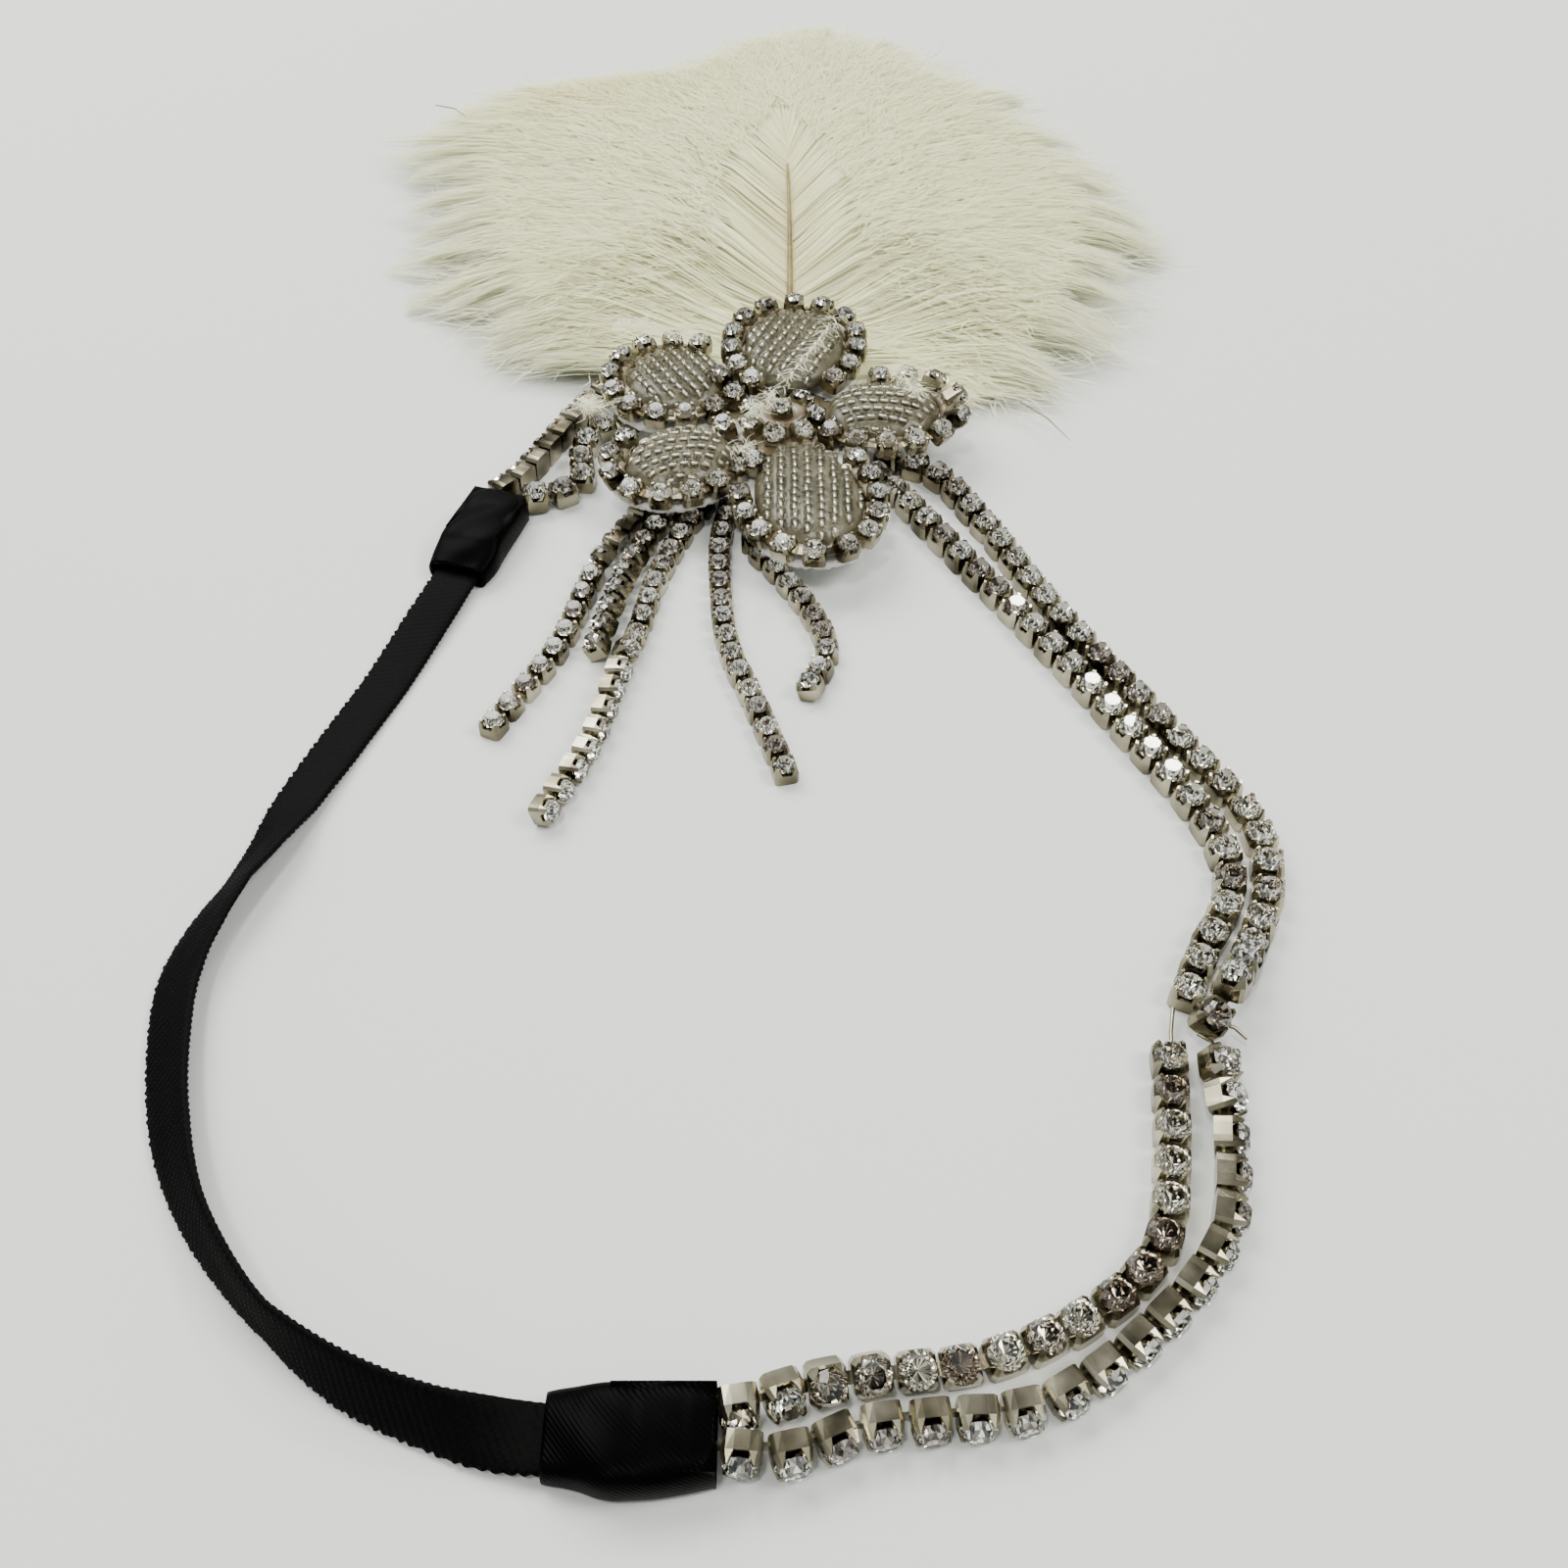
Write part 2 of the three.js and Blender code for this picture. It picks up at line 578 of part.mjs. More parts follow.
// The stones round a petal, spaced evenly between two bearings of its edge.
// They lean out a little, and more towards the petal's tip.
function rimFrames(petal) {
  const path = [];
  for (let i = 0; i <= RIM_SAMPLES; i += 1) {
    path.push(petalEdge(petal, lerp(petal.from, petal.to, i / RIM_SAMPLES), 0).point);
  }
  const curve = new THREE.CatmullRomCurve3(path);
  const steps = Math.round(curve.getLength() / CHAIN.rim.pitch);
  const frames = [];
  for (let i = 0; i <= steps; i += 1) {
    const degrees = lerp(petal.from, petal.to, curve.getUtoTmapping(i / steps));
    const { point, outward } = petalEdge(petal, degrees, 0);
    const tip = Math.max(0, Math.cos(radians(degrees)));
    const lean = lerp(RIM_LEAN, petal.curl, tip * tip);
    const rise = Math.sin(radians(lean)) * CHAIN.rim.cup / 2;
    frames.push(leaningFrame(point.setZ(petalFloor(petal) + rise), outward, lean));
  }
  return frames;
}

function addRim(petal) {
  const string = stoneString(rimFrames(petal), CHAIN.rim);
  addPiece(`stones_${petal.name}`, geometryOf(string), FINISH.stones);
}

// The felt behind the flower follows all five petals.
function addFelt() {
  const slabs = PETALS.map((petal) => {
    const inset = -petal.felt * FELT_MARGIN;
    return solid(loft([
      petalRing(petal, inset, FELT_Z),
      petalRing(petal, inset, FELT_Z + FELT_THICK),
    ]));
  });
  const disc = new THREE.CylinderGeometry(FELT_MIDDLE, FELT_MIDDLE, FELT_THICK, PETAL_SIDES);
  disc.rotateX(Math.PI / 2).translate(0, 0, FELT_Z + FELT_THICK / 2);
  addPiece('felt_backing', geometryOf(join([...slabs, solid(disc)])), FINISH.felt);
}

// The heart of the flower: a low mound with one stone amid a ring of stones.
function addHeart() {
  const mound = new THREE.CylinderGeometry(HEART.crown, HEART.radius, HEART.rise, HEART.sides);
  mound.rotateX(Math.PI / 2).translate(HEART.x, HEART.y, PETAL_Z + HEART.rise / 2);
  const centre = new THREE.Vector3(HEART.x, HEART.y, PETAL_Z);
  const top = centre.clone().addScaledVector(UP, HEART.rise - LINK_THICK / 2);
  const pieces = [solid(mound), cupAndStone(leaningFrame(top, LEFT_ON_TABLE, 0), CHAIN.rim)];
  for (let i = 0; i < HEART_RING.stones; i += 1) {
    const outward = bearingAxes((i / HEART_RING.stones) * 360).along;
    const seat = centre.clone()
      .addScaledVector(outward, HEART_RING.radius)
      .addScaledVector(UP, HEART_RING.seat);
    pieces.push(cupAndStone(leaningFrame(seat, outward, HEART_RING.lean), CHAIN.rim));
  }
  addPiece('flower_heart', geometryOf(join(pieces)), FINISH.stones);
}

// A place on the quill at a share of its length: it climbs out from under the
// flower to the plume's crown.
function quillPoint(share) {
  const y = QUILL.start + share * QUILL.length;
  const climb = smoothstep(y - FLOWER_CLEAR, 0, QUILL.climb);
  const x = Math.sin(share * Math.PI) * QUILL.bow;
  return new THREE.Vector3(x, y, lerp(PLUME_UNDER - QUILL.radius, QUILL.top, climb));
}

// Height of the plume's upper side: thin under the flower, full beyond it.
function plumeTop(point) {
  const away = Math.hypot(point.x, point.y) - FLOWER_CLEAR;
  return lerp(PLUME_UNDER, PLUME_HEIGHT, smoothstep(away, 0, PLUME_SWELL));
}

// The locks leave the quill in pairs, from its foot to its tip and down again.
function rootShare(index) {
  const half = (LOCKS.length - 1) / 2;
  return lerp(1, FIRST_ROOT, Math.abs(index / half - 1));
}

// The tip at a row of the table, or between two rows.
function tipAt(index) {
  const row = Math.min(Math.floor(index), LOCKS.length - 2);
  const [from, to] = [LOCKS[row], LOCKS[row + 1]];
  const part = index - row;
  return new THREE.Vector3(
    lerp(from.x, to.x, part) * PLUME_REACH,
    lerp(from.y, to.y, part) * PLUME_REACH,
    lerp(from.lift, to.lift, part) * PLUME_HEIGHT,
  );
}

// Upper and lower points from the quill to the plume's edge. Whole indices run
// along a lock's ridge, halves along the fold between two locks.
function plumeLine(index) {
  const root = quillPoint(rootShare(index));
  const tip = tipAt(index);
  const fold = 1 - Math.abs(Math.cos(index * Math.PI));
  const bow = Math.abs(tip.x - root.x) * LOCK_BOW;
  const upper = [root];
  const lower = [root.clone().setZ(GAP)];
  for (const share of LOCK_RINGS) {
    const reach = share * (1 - LOCK_NOTCH * fold);
    const middle = root.clone().lerp(tip, reach);
    middle.y += Math.sin(reach * Math.PI) * bow;
    const under = tip.z * share * share;
    const full = (plumeTop(middle) - TIP_THICK) * Math.sqrt(1 - share * share) * (1 - LOCK_FOLD * fold);
    upper.push(middle.clone().setZ(Math.min(under + TIP_THICK + full, under + plumeTop(middle))));
    lower.push(middle.clone().setZ(under));
  }
  return { upper, lower };
}

// The vane: one skin over all locks, closed round its edge and at both sides of
// the gap that the flower covers.
function plumeVane() {
  const lines = [];
  for (let i = 0; i <= (LOCKS.length - 1) * LOCK_LINES; i += 1) {
    lines.push(plumeLine(i / LOCK_LINES));
  }
  const points = lines.flatMap((line) => [...line.upper, ...line.lower]);
  const count = LOCK_RINGS.length + 1;
  const upper = (i, r) => i * 2 * count + r;
  const lower = (i, r) => upper(i, r) + count;
  const faces = [];
  const quad = (a, b, c, d) => faces.push(a, c, b, a, d, c);
  const end = lines.length - 1;
  for (let r = 0; r + 1 < count; r += 1) {
    for (let i = 0; i < end; i += 1) {
      quad(upper(i, r), upper(i, r + 1), upper(i + 1, r + 1), upper(i + 1, r));
      quad(lower(i, r), lower(i + 1, r), lower(i + 1, r + 1), lower(i, r + 1));
    }
    quad(upper(0, r), lower(0, r), lower(0, r + 1), upper(0, r + 1));
    quad(upper(end, r), upper(end, r + 1), lower(end, r + 1), lower(end, r));
  }
  const edge = count - 1;
  for (let i = 0; i < end; i += 1) {
    quad(upper(i, edge), lower(i, edge), lower(i + 1, edge), upper(i + 1, edge));
  }
  return solid(skin(points, faces));
}

function quillSolid() {
  const rings = [];
  for (let i = 0; i <= QUILL_STEPS; i += 1) {
    const share = i / QUILL_STEPS;
    const radius = lerp(QUILL.radius, QUILL.tip, share);
    const ring = [];
    for (let k = 0; k < QUILL_SIDES; k += 1) {
      const angle = (k / QUILL_SIDES) * 2 * Math.PI;
      const offset = new THREE.Vector3(-Math.cos(angle), 0, Math.sin(angle));
      ring.push(quillPoint(share).addScaledVector(offset, radius));
    }
    rings.push(ring);
  }
  return solid(loft(rings));
}

function addPlume() {
  addPiece('ostrich_plume', geometryOf(plumeVane().add(quillSolid())), FINISH.feather);
}

addChains();
addElastic();
addWraps();
PETALS.forEach(addPad);
PETALS.forEach(addRim);
addFelt();
addHeart();
addPlume();

// The headband stands on z = 0 with the middle of its outline at the origin.
const extent = new THREE.Box3().setFromObject(group);
const middle = extent.getCenter(new THREE.Vector3());
group.position.set(-middle.x, -middle.y, -extent.min.z);

export default group;
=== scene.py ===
# %% [markdown]
# # A flapper headband, dressed for its picture
# The headband is a loop of rhinestone cup chain and black elastic. It carries a
# flower of seed beads and stones, a fringe of loose chain ends and an ostrich
# plume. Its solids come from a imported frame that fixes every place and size, and
# this lesson builds the fine pieces that the eye sees around them.

# %% Load the frame and note its size
import json
import math
import bmesh
import bpy
import numpy as np
from mathutils import Matrix, Vector

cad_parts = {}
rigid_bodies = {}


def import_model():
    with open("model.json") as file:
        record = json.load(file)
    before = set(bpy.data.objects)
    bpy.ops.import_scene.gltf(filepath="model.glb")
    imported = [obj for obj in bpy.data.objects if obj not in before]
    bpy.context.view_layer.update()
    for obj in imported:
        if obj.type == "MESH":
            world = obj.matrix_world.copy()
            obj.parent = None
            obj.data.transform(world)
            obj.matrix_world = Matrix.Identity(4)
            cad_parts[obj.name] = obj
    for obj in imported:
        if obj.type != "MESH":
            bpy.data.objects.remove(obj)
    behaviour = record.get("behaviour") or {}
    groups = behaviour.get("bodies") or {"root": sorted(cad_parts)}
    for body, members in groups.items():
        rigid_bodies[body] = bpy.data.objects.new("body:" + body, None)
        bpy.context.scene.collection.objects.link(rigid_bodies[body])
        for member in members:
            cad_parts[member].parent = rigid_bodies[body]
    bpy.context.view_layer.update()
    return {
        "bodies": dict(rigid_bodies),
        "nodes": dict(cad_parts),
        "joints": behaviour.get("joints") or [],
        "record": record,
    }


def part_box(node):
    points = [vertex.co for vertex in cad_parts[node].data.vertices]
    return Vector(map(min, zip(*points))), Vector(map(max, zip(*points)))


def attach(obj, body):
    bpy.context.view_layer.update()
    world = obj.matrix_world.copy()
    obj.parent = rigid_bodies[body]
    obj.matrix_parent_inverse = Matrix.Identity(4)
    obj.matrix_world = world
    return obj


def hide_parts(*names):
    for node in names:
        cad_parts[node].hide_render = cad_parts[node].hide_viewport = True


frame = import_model()
MM = 0.001
UP = Vector((0, 0, 1))
RNG = np.random.default_rng(1926)

# %% [markdown]
# Lengths in this file are millimetres, counted from the middle of the flower, as
# they would be measured on the bench. The lower satin wrap tells how far the
# flower lies from the frame's origin, because its table of sections is known.

# %% Where the flower lies in the frame
ELASTIC_WIDTH = 7.0
ELASTIC_THICK = 1.2
WRAP_LENGTH = 17.0
WRAP_WALL = 0.5
WRAP_HEIGHT = 5.8
WRAP_WIDTH = 9.8
WRAPS = {
    "ribbon_wrap_upper": {
        "x": -47.4, "y": -24.0, "bearing": 72,
        "sections": [
            {"along": -0.50, "wide": 1.00, "high": 0.66, "side": 0.00},
            {"along": -0.30, "wide": 1.06, "high": 0.88, "side": -0.02},
            {"along": -0.12, "wide": 1.04, "high": 1.00, "side": 0.00},
            {"along": 0.50, "wide": 0.98, "high": 0.98, "side": 0.00},
        ],
    },
    "ribbon_wrap_lower": {
        "x": -15.1, "y": -163.0, "bearing": 0,
        "sections": [
            {"along": -0.50, "wide": 0.94, "high": 0.66, "side": 0.02},
            {"along": -0.32, "wide": 0.96, "high": 0.86, "side": 0.00},
            {"along": -0.13, "wide": 1.12, "high": 1.00, "side": -0.05},
            {"along": 0.14, "wide": 1.10, "high": 1.00, "side": -0.04},
            {"along": 0.50, "wide": 0.98, "high": 0.97, "side": 0.00},
        ],
    },
}


def flower_place():
    wrap = WRAPS["ribbon_wrap_lower"]
    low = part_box("ribbon_wrap_lower")[0]
    left = wrap["x"] - WRAP_LENGTH / 2
    near = min(s["side"] - s["wide"] / 2 for s in wrap["sections"])
    return np.array([low[0] / MM - left, low[1] / MM - wrap["y"] - near * WRAP_WIDTH, 0.0])


SHIFT = flower_place()
print("flower at", SHIFT.round(3))

# %% [markdown]
# The picture was taken by hand from the near side, looking down at about 47
# degrees. A camera with no lens shift, placed and tilted the same way, gives the
# same foreshortening from the plume down to the lower wrap.

# %% Camera
CAMERA_PLACE = np.array([0.0, -224.0, 163.63])
CAMERA_PITCH = 47.473
LENS = 37.43


def add_camera():
    data = bpy.data.cameras.new("camera")
    data.lens = LENS
    data.sensor_width = 36.0
    data.clip_start = 0.01
    camera = bpy.data.objects.new("camera", data)
    camera.location = Vector((CAMERA_PLACE + SHIFT) * MM)
    camera.rotation_euler = (math.radians(90 - CAMERA_PITCH), 0, 0)
    bpy.context.scene.collection.objects.link(camera)
    bpy.context.scene.camera = camera


add_camera()

# %% [markdown]
# Helpers for meshes. Each piece is made from points in bench millimetres, and
# gets its place in its mesh, so that its object can stay at the origin.

# %% Mesh helpers


def to_frame(points):
    return (np.asarray(points, dtype=float).reshape(-1, 3) + SHIFT) * MM


def new_object(name, mesh):
    piece = bpy.data.objects.new(name, mesh)
    bpy.context.scene.collection.objects.link(piece)
    return piece


def mesh_of(name, points, faces=(), edges=()):
    mesh = bpy.data.meshes.new(name)
    mesh.from_pydata(np.asarray(points).tolist(), edges, faces)
    mesh.update()
    return mesh


def smooth(mesh, value=True):
    mesh.polygons.foreach_set("use_smooth", [value] * len(mesh.polygons))
    mesh.update()


def set_attribute(mesh, name, kind, domain, values):
    attribute = mesh.attributes.new(name, kind, domain)
    field = "vector" if kind == "FLOAT_VECTOR" else "value"
    attribute.data.foreach_set(field, np.asarray(values).ravel())


def grid_faces(rows, columns, closed=False):
    """Quads between the rows of a grid of points; closed joins its last column to its first."""
    faces = []
    for r in range(rows - 1):
        for c in range(columns if closed else columns - 1):
            d = (c + 1) % columns
            near, far = r * columns, (r + 1) * columns
            faces.append((near + c, near + d, far + d, far + c))
    return faces


def outward(mesh):
    work = bmesh.new()
    work.from_mesh(mesh)
    bmesh.ops.recalc_face_normals(work, faces=work.faces)
    work.to_mesh(mesh)
    work.free()


def bearing_axes(degrees):
    angle = math.radians(degrees)
    along = np.array([math.cos(angle), math.sin(angle), 0.0])
    return along, np.array([-along[1], along[0], 0.0])


def mix(a, b, share):
    return a + (b - a) * share


def ease(x):
    x = np.clip(x, 0.0, 1.0)
    return x * x * (3 - 2 * x)

# %% [markdown]
# Helpers for materials. Every finish is a node tree on the Principled shader.
# Its noise reads Object coordinates, which stay put because the pieces do.

# %% Material helpers


def new_material(name, color, **sockets):
    material = bpy.data.materials.new(name)
    material.use_nodes = True
    shader = material.node_tree.nodes["Principled BSDF"]
    shader.inputs["Base Color"].default_value = (*color, 1)
    for socket, value in sockets.items():
        shader.inputs[socket.replace("_", " ")].default_value = value
    return material


def add_node(material, kind, **values):
    node = material.node_tree.nodes.new(kind)
    for key, value in values.items():
        if key in node.inputs:
            node.inputs[key].default_value = value
        else:
            setattr(node, key, value)
    return node


def join_nodes(material, *pairs):
    for source, target in pairs:
        material.node_tree.links.new(source, target)


def shader_of(material):
    return material.node_tree.nodes["Principled BSDF"]


def noise(material, scale, detail=2.0, distortion=0.0):
    """Noise on Object coordinates; scale counts lumps per metre."""
    place = add_node(material, "ShaderNodeTexCoord")
    node = add_node(material, "ShaderNodeTexNoise", Scale=scale, Detail=detail, Distortion=distortion)
    join_nodes(material, (place.outputs["Object"], node.inputs["Vector"]))
    return node.outputs["Fac"]


def attribute(material, name):
    return add_node(material, "ShaderNodeAttribute", attribute_name=name).outputs["Fac"]


def color_by(material, factor, stops, socket="Base Color"):
    """Colours the shader by a factor: stops are pairs of a place from 0 to 1 and a colour."""
    ramp = add_node(material, "ShaderNodeValToRGB")
    elements = ramp.color_ramp.elements
    while len(elements) < len(stops):
        elements.new(0.5)
    for element, (place, color) in zip(elements, stops):
        element.position = place
        element.color = (*color, 1)
    join_nodes(material, (factor, ramp.inputs["Fac"]),
               (ramp.outputs["Color"], shader_of(material).inputs[socket]))


def value_by(material, factor, low, high, socket):
    scale = add_node(material, "ShaderNodeMapRange")
    scale.inputs["To Min"].default_value = low
    scale.inputs["To Max"].default_value = high
    join_nodes(material, (factor, scale.inputs["Value"]),
               (scale.outputs["Result"], shader_of(material).inputs[socket]))


def bump_by(material, factor, height, strength=0.6):
    """Bump of a height in millimetres."""
    bump = add_node(material, "ShaderNodeBump", Strength=strength, Distance=height * MM)
    join_nodes(material, (factor, bump.inputs["Height"]),
               (bump.outputs["Normal"], shader_of(material).inputs["Normal"]))


# %% [markdown]
# The stones are clear glass with a foiled back. Light goes in through the crown,
# bounces between the mirrored facets behind and comes out again, which is why a
# stone shows hard patches of bright and dark. Real refraction over a mirror gives
# that by itself, so the crown is glass and the back facets are metal. The cups are
# plated brass, a warm silver that has dulled where dirt gathers.

# %% Stone and metal finishes
CRYSTAL = new_material("crystal", (1.0, 0.99, 0.95), Roughness=0.0, IOR=1.56, Transmission_Weight=1.0)
FOIL = new_material("stone_foil", (0.9, 0.85, 0.83), Roughness=0.05, Metallic=1.0)
color_by(FOIL, noise(FOIL, 130, 1), [
    (0.40, (0.50, 0.44, 0.38)),
    (0.5, (0.84, 0.81, 0.74)),
    (0.60, (0.97, 0.95, 0.87)),
])
NICKEL = new_material("plated_cup", (0.45, 0.41, 0.30), Roughness=0.22, Metallic=1.0)
color_by(NICKEL, noise(NICKEL, 150, 1), [
    (0.3, (0.06, 0.05, 0.028)),
    (0.48, (0.25, 0.225, 0.15)),
    (0.75, (0.54, 0.50, 0.38)),
])
value_by(NICKEL, noise(NICKEL, 300, 2), 0.12, 0.34, "Roughness")

# %% [markdown]
# A stone in its cup is one shape, made once. The cup is a square box of thin sheet
# with a low dip in the middle of each wall and a prong at each corner that leans in
# over the stone. The stone has a table, stars, kites and girdle facets. A number on
# each face says which finish it takes later: 0 for metal, 1 for glass, 2 for foil.

# %% One stone in its cup
CHAIN = {
    "band": {"cup": 4.1, "pitch": 4.7, "deep": 2.6, "tall": 3.9, "table": 2.3, "link": 1.4},
    "fringe": {"cup": 3.4, "pitch": 4.15, "deep": 2.1, "tall": 3.2, "table": 1.9, "link": 1.2},
    "rim": {"cup": 3.6, "pitch": 4.85, "deep": 2.2, "tall": 3.3, "table": 2.0, "link": 1.3},
}
LINK_THICK = 0.6
CUP_SHEET = 0.3
METAL, GLASS, MIRROR = 0, 1, 2
PRONG_LEAN = 0.84
PRONG_HEIGHT = 0.86
WALL_DIP = 0.52
STONE_SHARE = 0.965
CROWN_SHARE = 0.30


def cup_ring(half, heights, lean=1.0):
    """Sixteen points round a cup: two by each corner prong, two on each wall."""
    wall, prong = heights
    ring = []
    for quarter in range(4):
        turn = Matrix.Rotation(quarter * math.pi / 2, 3, "Z")
        for x, y, is_prong in ((1, -0.38, False), (1, 0.38, False), (1, 0.78, True), (0.78, 1, True)):
            share = lean if is_prong else 1.0
            rim = prong if is_prong else wall
            ring.append(turn @ Vector((x * half * share, y * half * share, rim)))
    return ring


def cup_shape(size):
    half = size["cup"] / 2
    top = (size["tall"] * WALL_DIP, size["tall"] * PRONG_HEIGHT)
    inner = half - CUP_SHEET
    rings = [
        cup_ring(half, (0, 0), 0.97),
        cup_ring(half, (size["tall"] * WALL_DIP, size["tall"] * WALL_DIP), 0.985),
        cup_ring(half, top, PRONG_LEAN),
        cup_ring(inner, top, PRONG_LEAN),
        cup_ring(inner, (CUP_SHEET, CUP_SHEET)),
    ]
    points = [p for ring in rings for p in ring]
    faces = grid_faces(len(rings), 16, closed=True)
    faces.append(tuple(reversed(range(16))))
    faces.append(tuple(range(4 * 16, 5 * 16)))
    return points, faces


def stone_ring(count, radius, height, turn=0.0):
    angles = [(i + turn) / count * 2 * math.pi for i in range(count)]
    return [Vector((radius * math.cos(a), radius * math.sin(a), height)) for a in angles]


def stone_shape(size):
    """Points, crown faces and back faces of a round stone."""
    radius = size["cup"] / 2 * STONE_SHARE
    girdle = size["tall"] * (1 - CROWN_SHARE)
    crown = size["tall"] - girdle
    rings = [
        stone_ring(8, size["table"] / 2, size["tall"], 0.5),
        stone_ring(8, radius * 0.80, girdle + crown * 0.52),
        stone_ring(16, radius, girdle),
    ]
    points = [p for ring in rings for p in ring] + [Vector((0, 0, LINK_THICK))]
    table, star, edge, tip = 0, 8, 16, 32
    front = [tuple(range(table, table + 8))]
    back = []
    for i in range(8):
        after = (i + 1) % 8
        front.append((table + i, star + i, star + after))
        front.append((table + i, star + after, table + after))
        low = edge + 2 * i
        front.append((star + i, low, low + 1))
        front.append((star + i, low + 1, star + after))
        front.append((star + after, low + 1, edge + (2 * i + 2) % 16))
    for i in range(16):
        back.append((edge + i, tip, edge + (i + 1) % 16))
    return points, front, back


def set_stone(kind):
    """The template object of a stone in its cup, kept out of the picture."""
    size = CHAIN[kind]
    points, faces = cup_shape(size)
    finish = [METAL] * len(faces)
    stone, front, back = stone_shape(size)
    offset = len(points)
    faces += [tuple(offset + i for i in face) for face in front + back]
    finish += [GLASS] * len(front) + [MIRROR] * len(back)
    mesh = mesh_of("set_stone_" + kind, np.array(points + stone) * MM, faces)
    outward(mesh)
    set_attribute(mesh, "finish", "INT", "FACE", finish)
    return bpy.data.objects.new("set_stone_" + kind, mesh)


def link_bar(kind):
    """The flat strap between two cups, one long, with a shallow arch."""
    size = CHAIN[kind]
    long, wide = size["pitch"] / 2, size["link"] / 2
    profile = [(-long, 0.3), (-long * 0.4, 0.75), (long * 0.4, 0.75), (long, 0.3)]
    points = []
    for lift in (0.0, LINK_THICK * 0.6):
        points += [(x, side * wide, z + lift) for x, z in profile for side in (-1, 1)]
    faces = []
    for i in range(3):
        a = 2 * i
        faces += [(a, a + 1, a + 3, a + 2), (8 + a, 8 + a + 2, 8 + a + 3, 8 + a + 1)]
        faces += [(a, a + 2, 8 + a + 2, 8 + a), (a + 1, 8 + a + 1, 8 + a + 3, a + 3)]
    faces += [(0, 8, 9, 1), (6, 7, 15, 14)]
    mesh = mesh_of("link_" + kind, np.array(points) * MM, faces)
    outward(mesh)
    set_attribute(mesh, "finish", "INT", "FACE", [METAL] * len(faces))
    return bpy.data.objects.new("link_" + kind, mesh)


TEMPLATES = {kind: (set_stone(kind), link_bar(kind)) for kind in CHAIN}
print("a set stone has", len(TEMPLATES["band"][0].data.polygons), "faces")

# %% [markdown]
# A chain is a string of equal pieces on a path, which is work for Geometry Nodes.
# The tree reads a cloud of points, each with its turn and its kind, sets a stone or
# a link on each, realizes the copies and paints the faces by their number.

# %% The tree that strings stones


def new_tree(name, sockets):
    tree = bpy.data.node_groups.new(name, "GeometryNodeTree")
    tree.is_modifier = True
    tree.interface.new_socket("Geometry", in_out="INPUT", socket_type="NodeSocketGeometry")
    for socket, kind in sockets:
        tree.interface.new_socket(socket, in_out="INPUT", socket_type="NodeSocket" + kind)
    tree.interface.new_socket("Geometry", in_out="OUTPUT", socket_type="NodeSocketGeometry")
    return tree


def tree_node(tree, kind, inputs=(), **settings):
    """Adds a node; inputs are pairs of a socket's name or number and a value or an output."""
    node = tree.nodes.new(kind)
    for key, value in settings.items():
        setattr(node, key, value)
    for socket, value in inputs:
        if isinstance(value, bpy.types.NodeSocket):
            tree.links.new(value, node.inputs[socket])
        else:
            node.inputs[socket].default_value = value
    return node


def named(tree, name, kind):
    node = tree_node(tree, "GeometryNodeInputNamedAttribute", [("Name", name)], data_type=kind)
    return node.outputs["Attribute"]


def is_equal(tree, value, number):
    node = tree.nodes.new("FunctionNodeCompare")
    node.data_type = "INT"
    node.operation = "EQUAL"
    tree.links.new(value, node.inputs[2])
    node.inputs[3].default_value = number
    return node.outputs["Result"]


def string_tree():
    tree = new_tree("String of stones", [("Stone", "Object"), ("Link", "Object"), ("Metal", "Material"),
                                         ("Glass", "Material"), ("Mirror", "Material")])
    given = tree.nodes.new("NodeGroupInput").outputs
    kind = named(tree, "kind", "INT")
    turn = tree_node(tree, "FunctionNodeEulerToRotation", [(0, named(tree, "turn", "FLOAT_VECTOR"))])
    sets = []
    for number, shape in enumerate(("Stone", "Link")):
        source = tree_node(tree, "GeometryNodeObjectInfo", [("Object", given[shape])])
        sets.append(tree_node(tree, "GeometryNodeInstanceOnPoints", [
            ("Points", given["Geometry"]), ("Selection", is_equal(tree, kind, number)),
            ("Instance", source.outputs["Geometry"]), ("Rotation", turn.outputs[0]),
        ]))
    both = tree.nodes.new("GeometryNodeJoinGeometry")
    for node in sets:
        tree.links.new(node.outputs[0], both.inputs[0])
    last = tree_node(tree, "GeometryNodeRealizeInstances", [("Geometry", both.outputs[0])])
    finish = named(tree, "finish", "INT")
    for number, material in enumerate(("Metal", "Glass", "Mirror")):
        last = tree_node(tree, "GeometryNodeSetMaterial", [
            ("Geometry", last.outputs[0]), ("Selection", is_equal(tree, finish, number)),
            ("Material", given[material]),
        ])
    tree_node(tree, "NodeGroupOutput", [("Geometry", last.outputs[0])])
    return tree


def grow(name, source, tree, values):
    """Runs a tree on an object and gives the result as a plain mesh piece."""
    modifier = source.modifiers.new("grow", "NODES")
    modifier.node_group = tree
    keys = {item.name: item.identifier for item in tree.interface.items_tree if item.in_out == "INPUT"}
    for key, value in values.items():
        modifier[keys[key]] = value
    depsgraph = bpy.context.evaluated_depsgraph_get()
    mesh = bpy.data.meshes.new_from_object(source.evaluated_get(depsgraph))
    mesh.name = name
    source.modifiers.remove(modifier)
    bpy.data.objects.remove(source)
    return new_object(name, mesh)


STRING_TREE = string_tree()
COUNTS = {}


def frame_turn(frame):
    """Euler angles of a frame whose axes are along, across and out."""
    axes = Matrix((frame["along"], frame["across"], frame["out"])).transposed()
    return axes.to_euler()


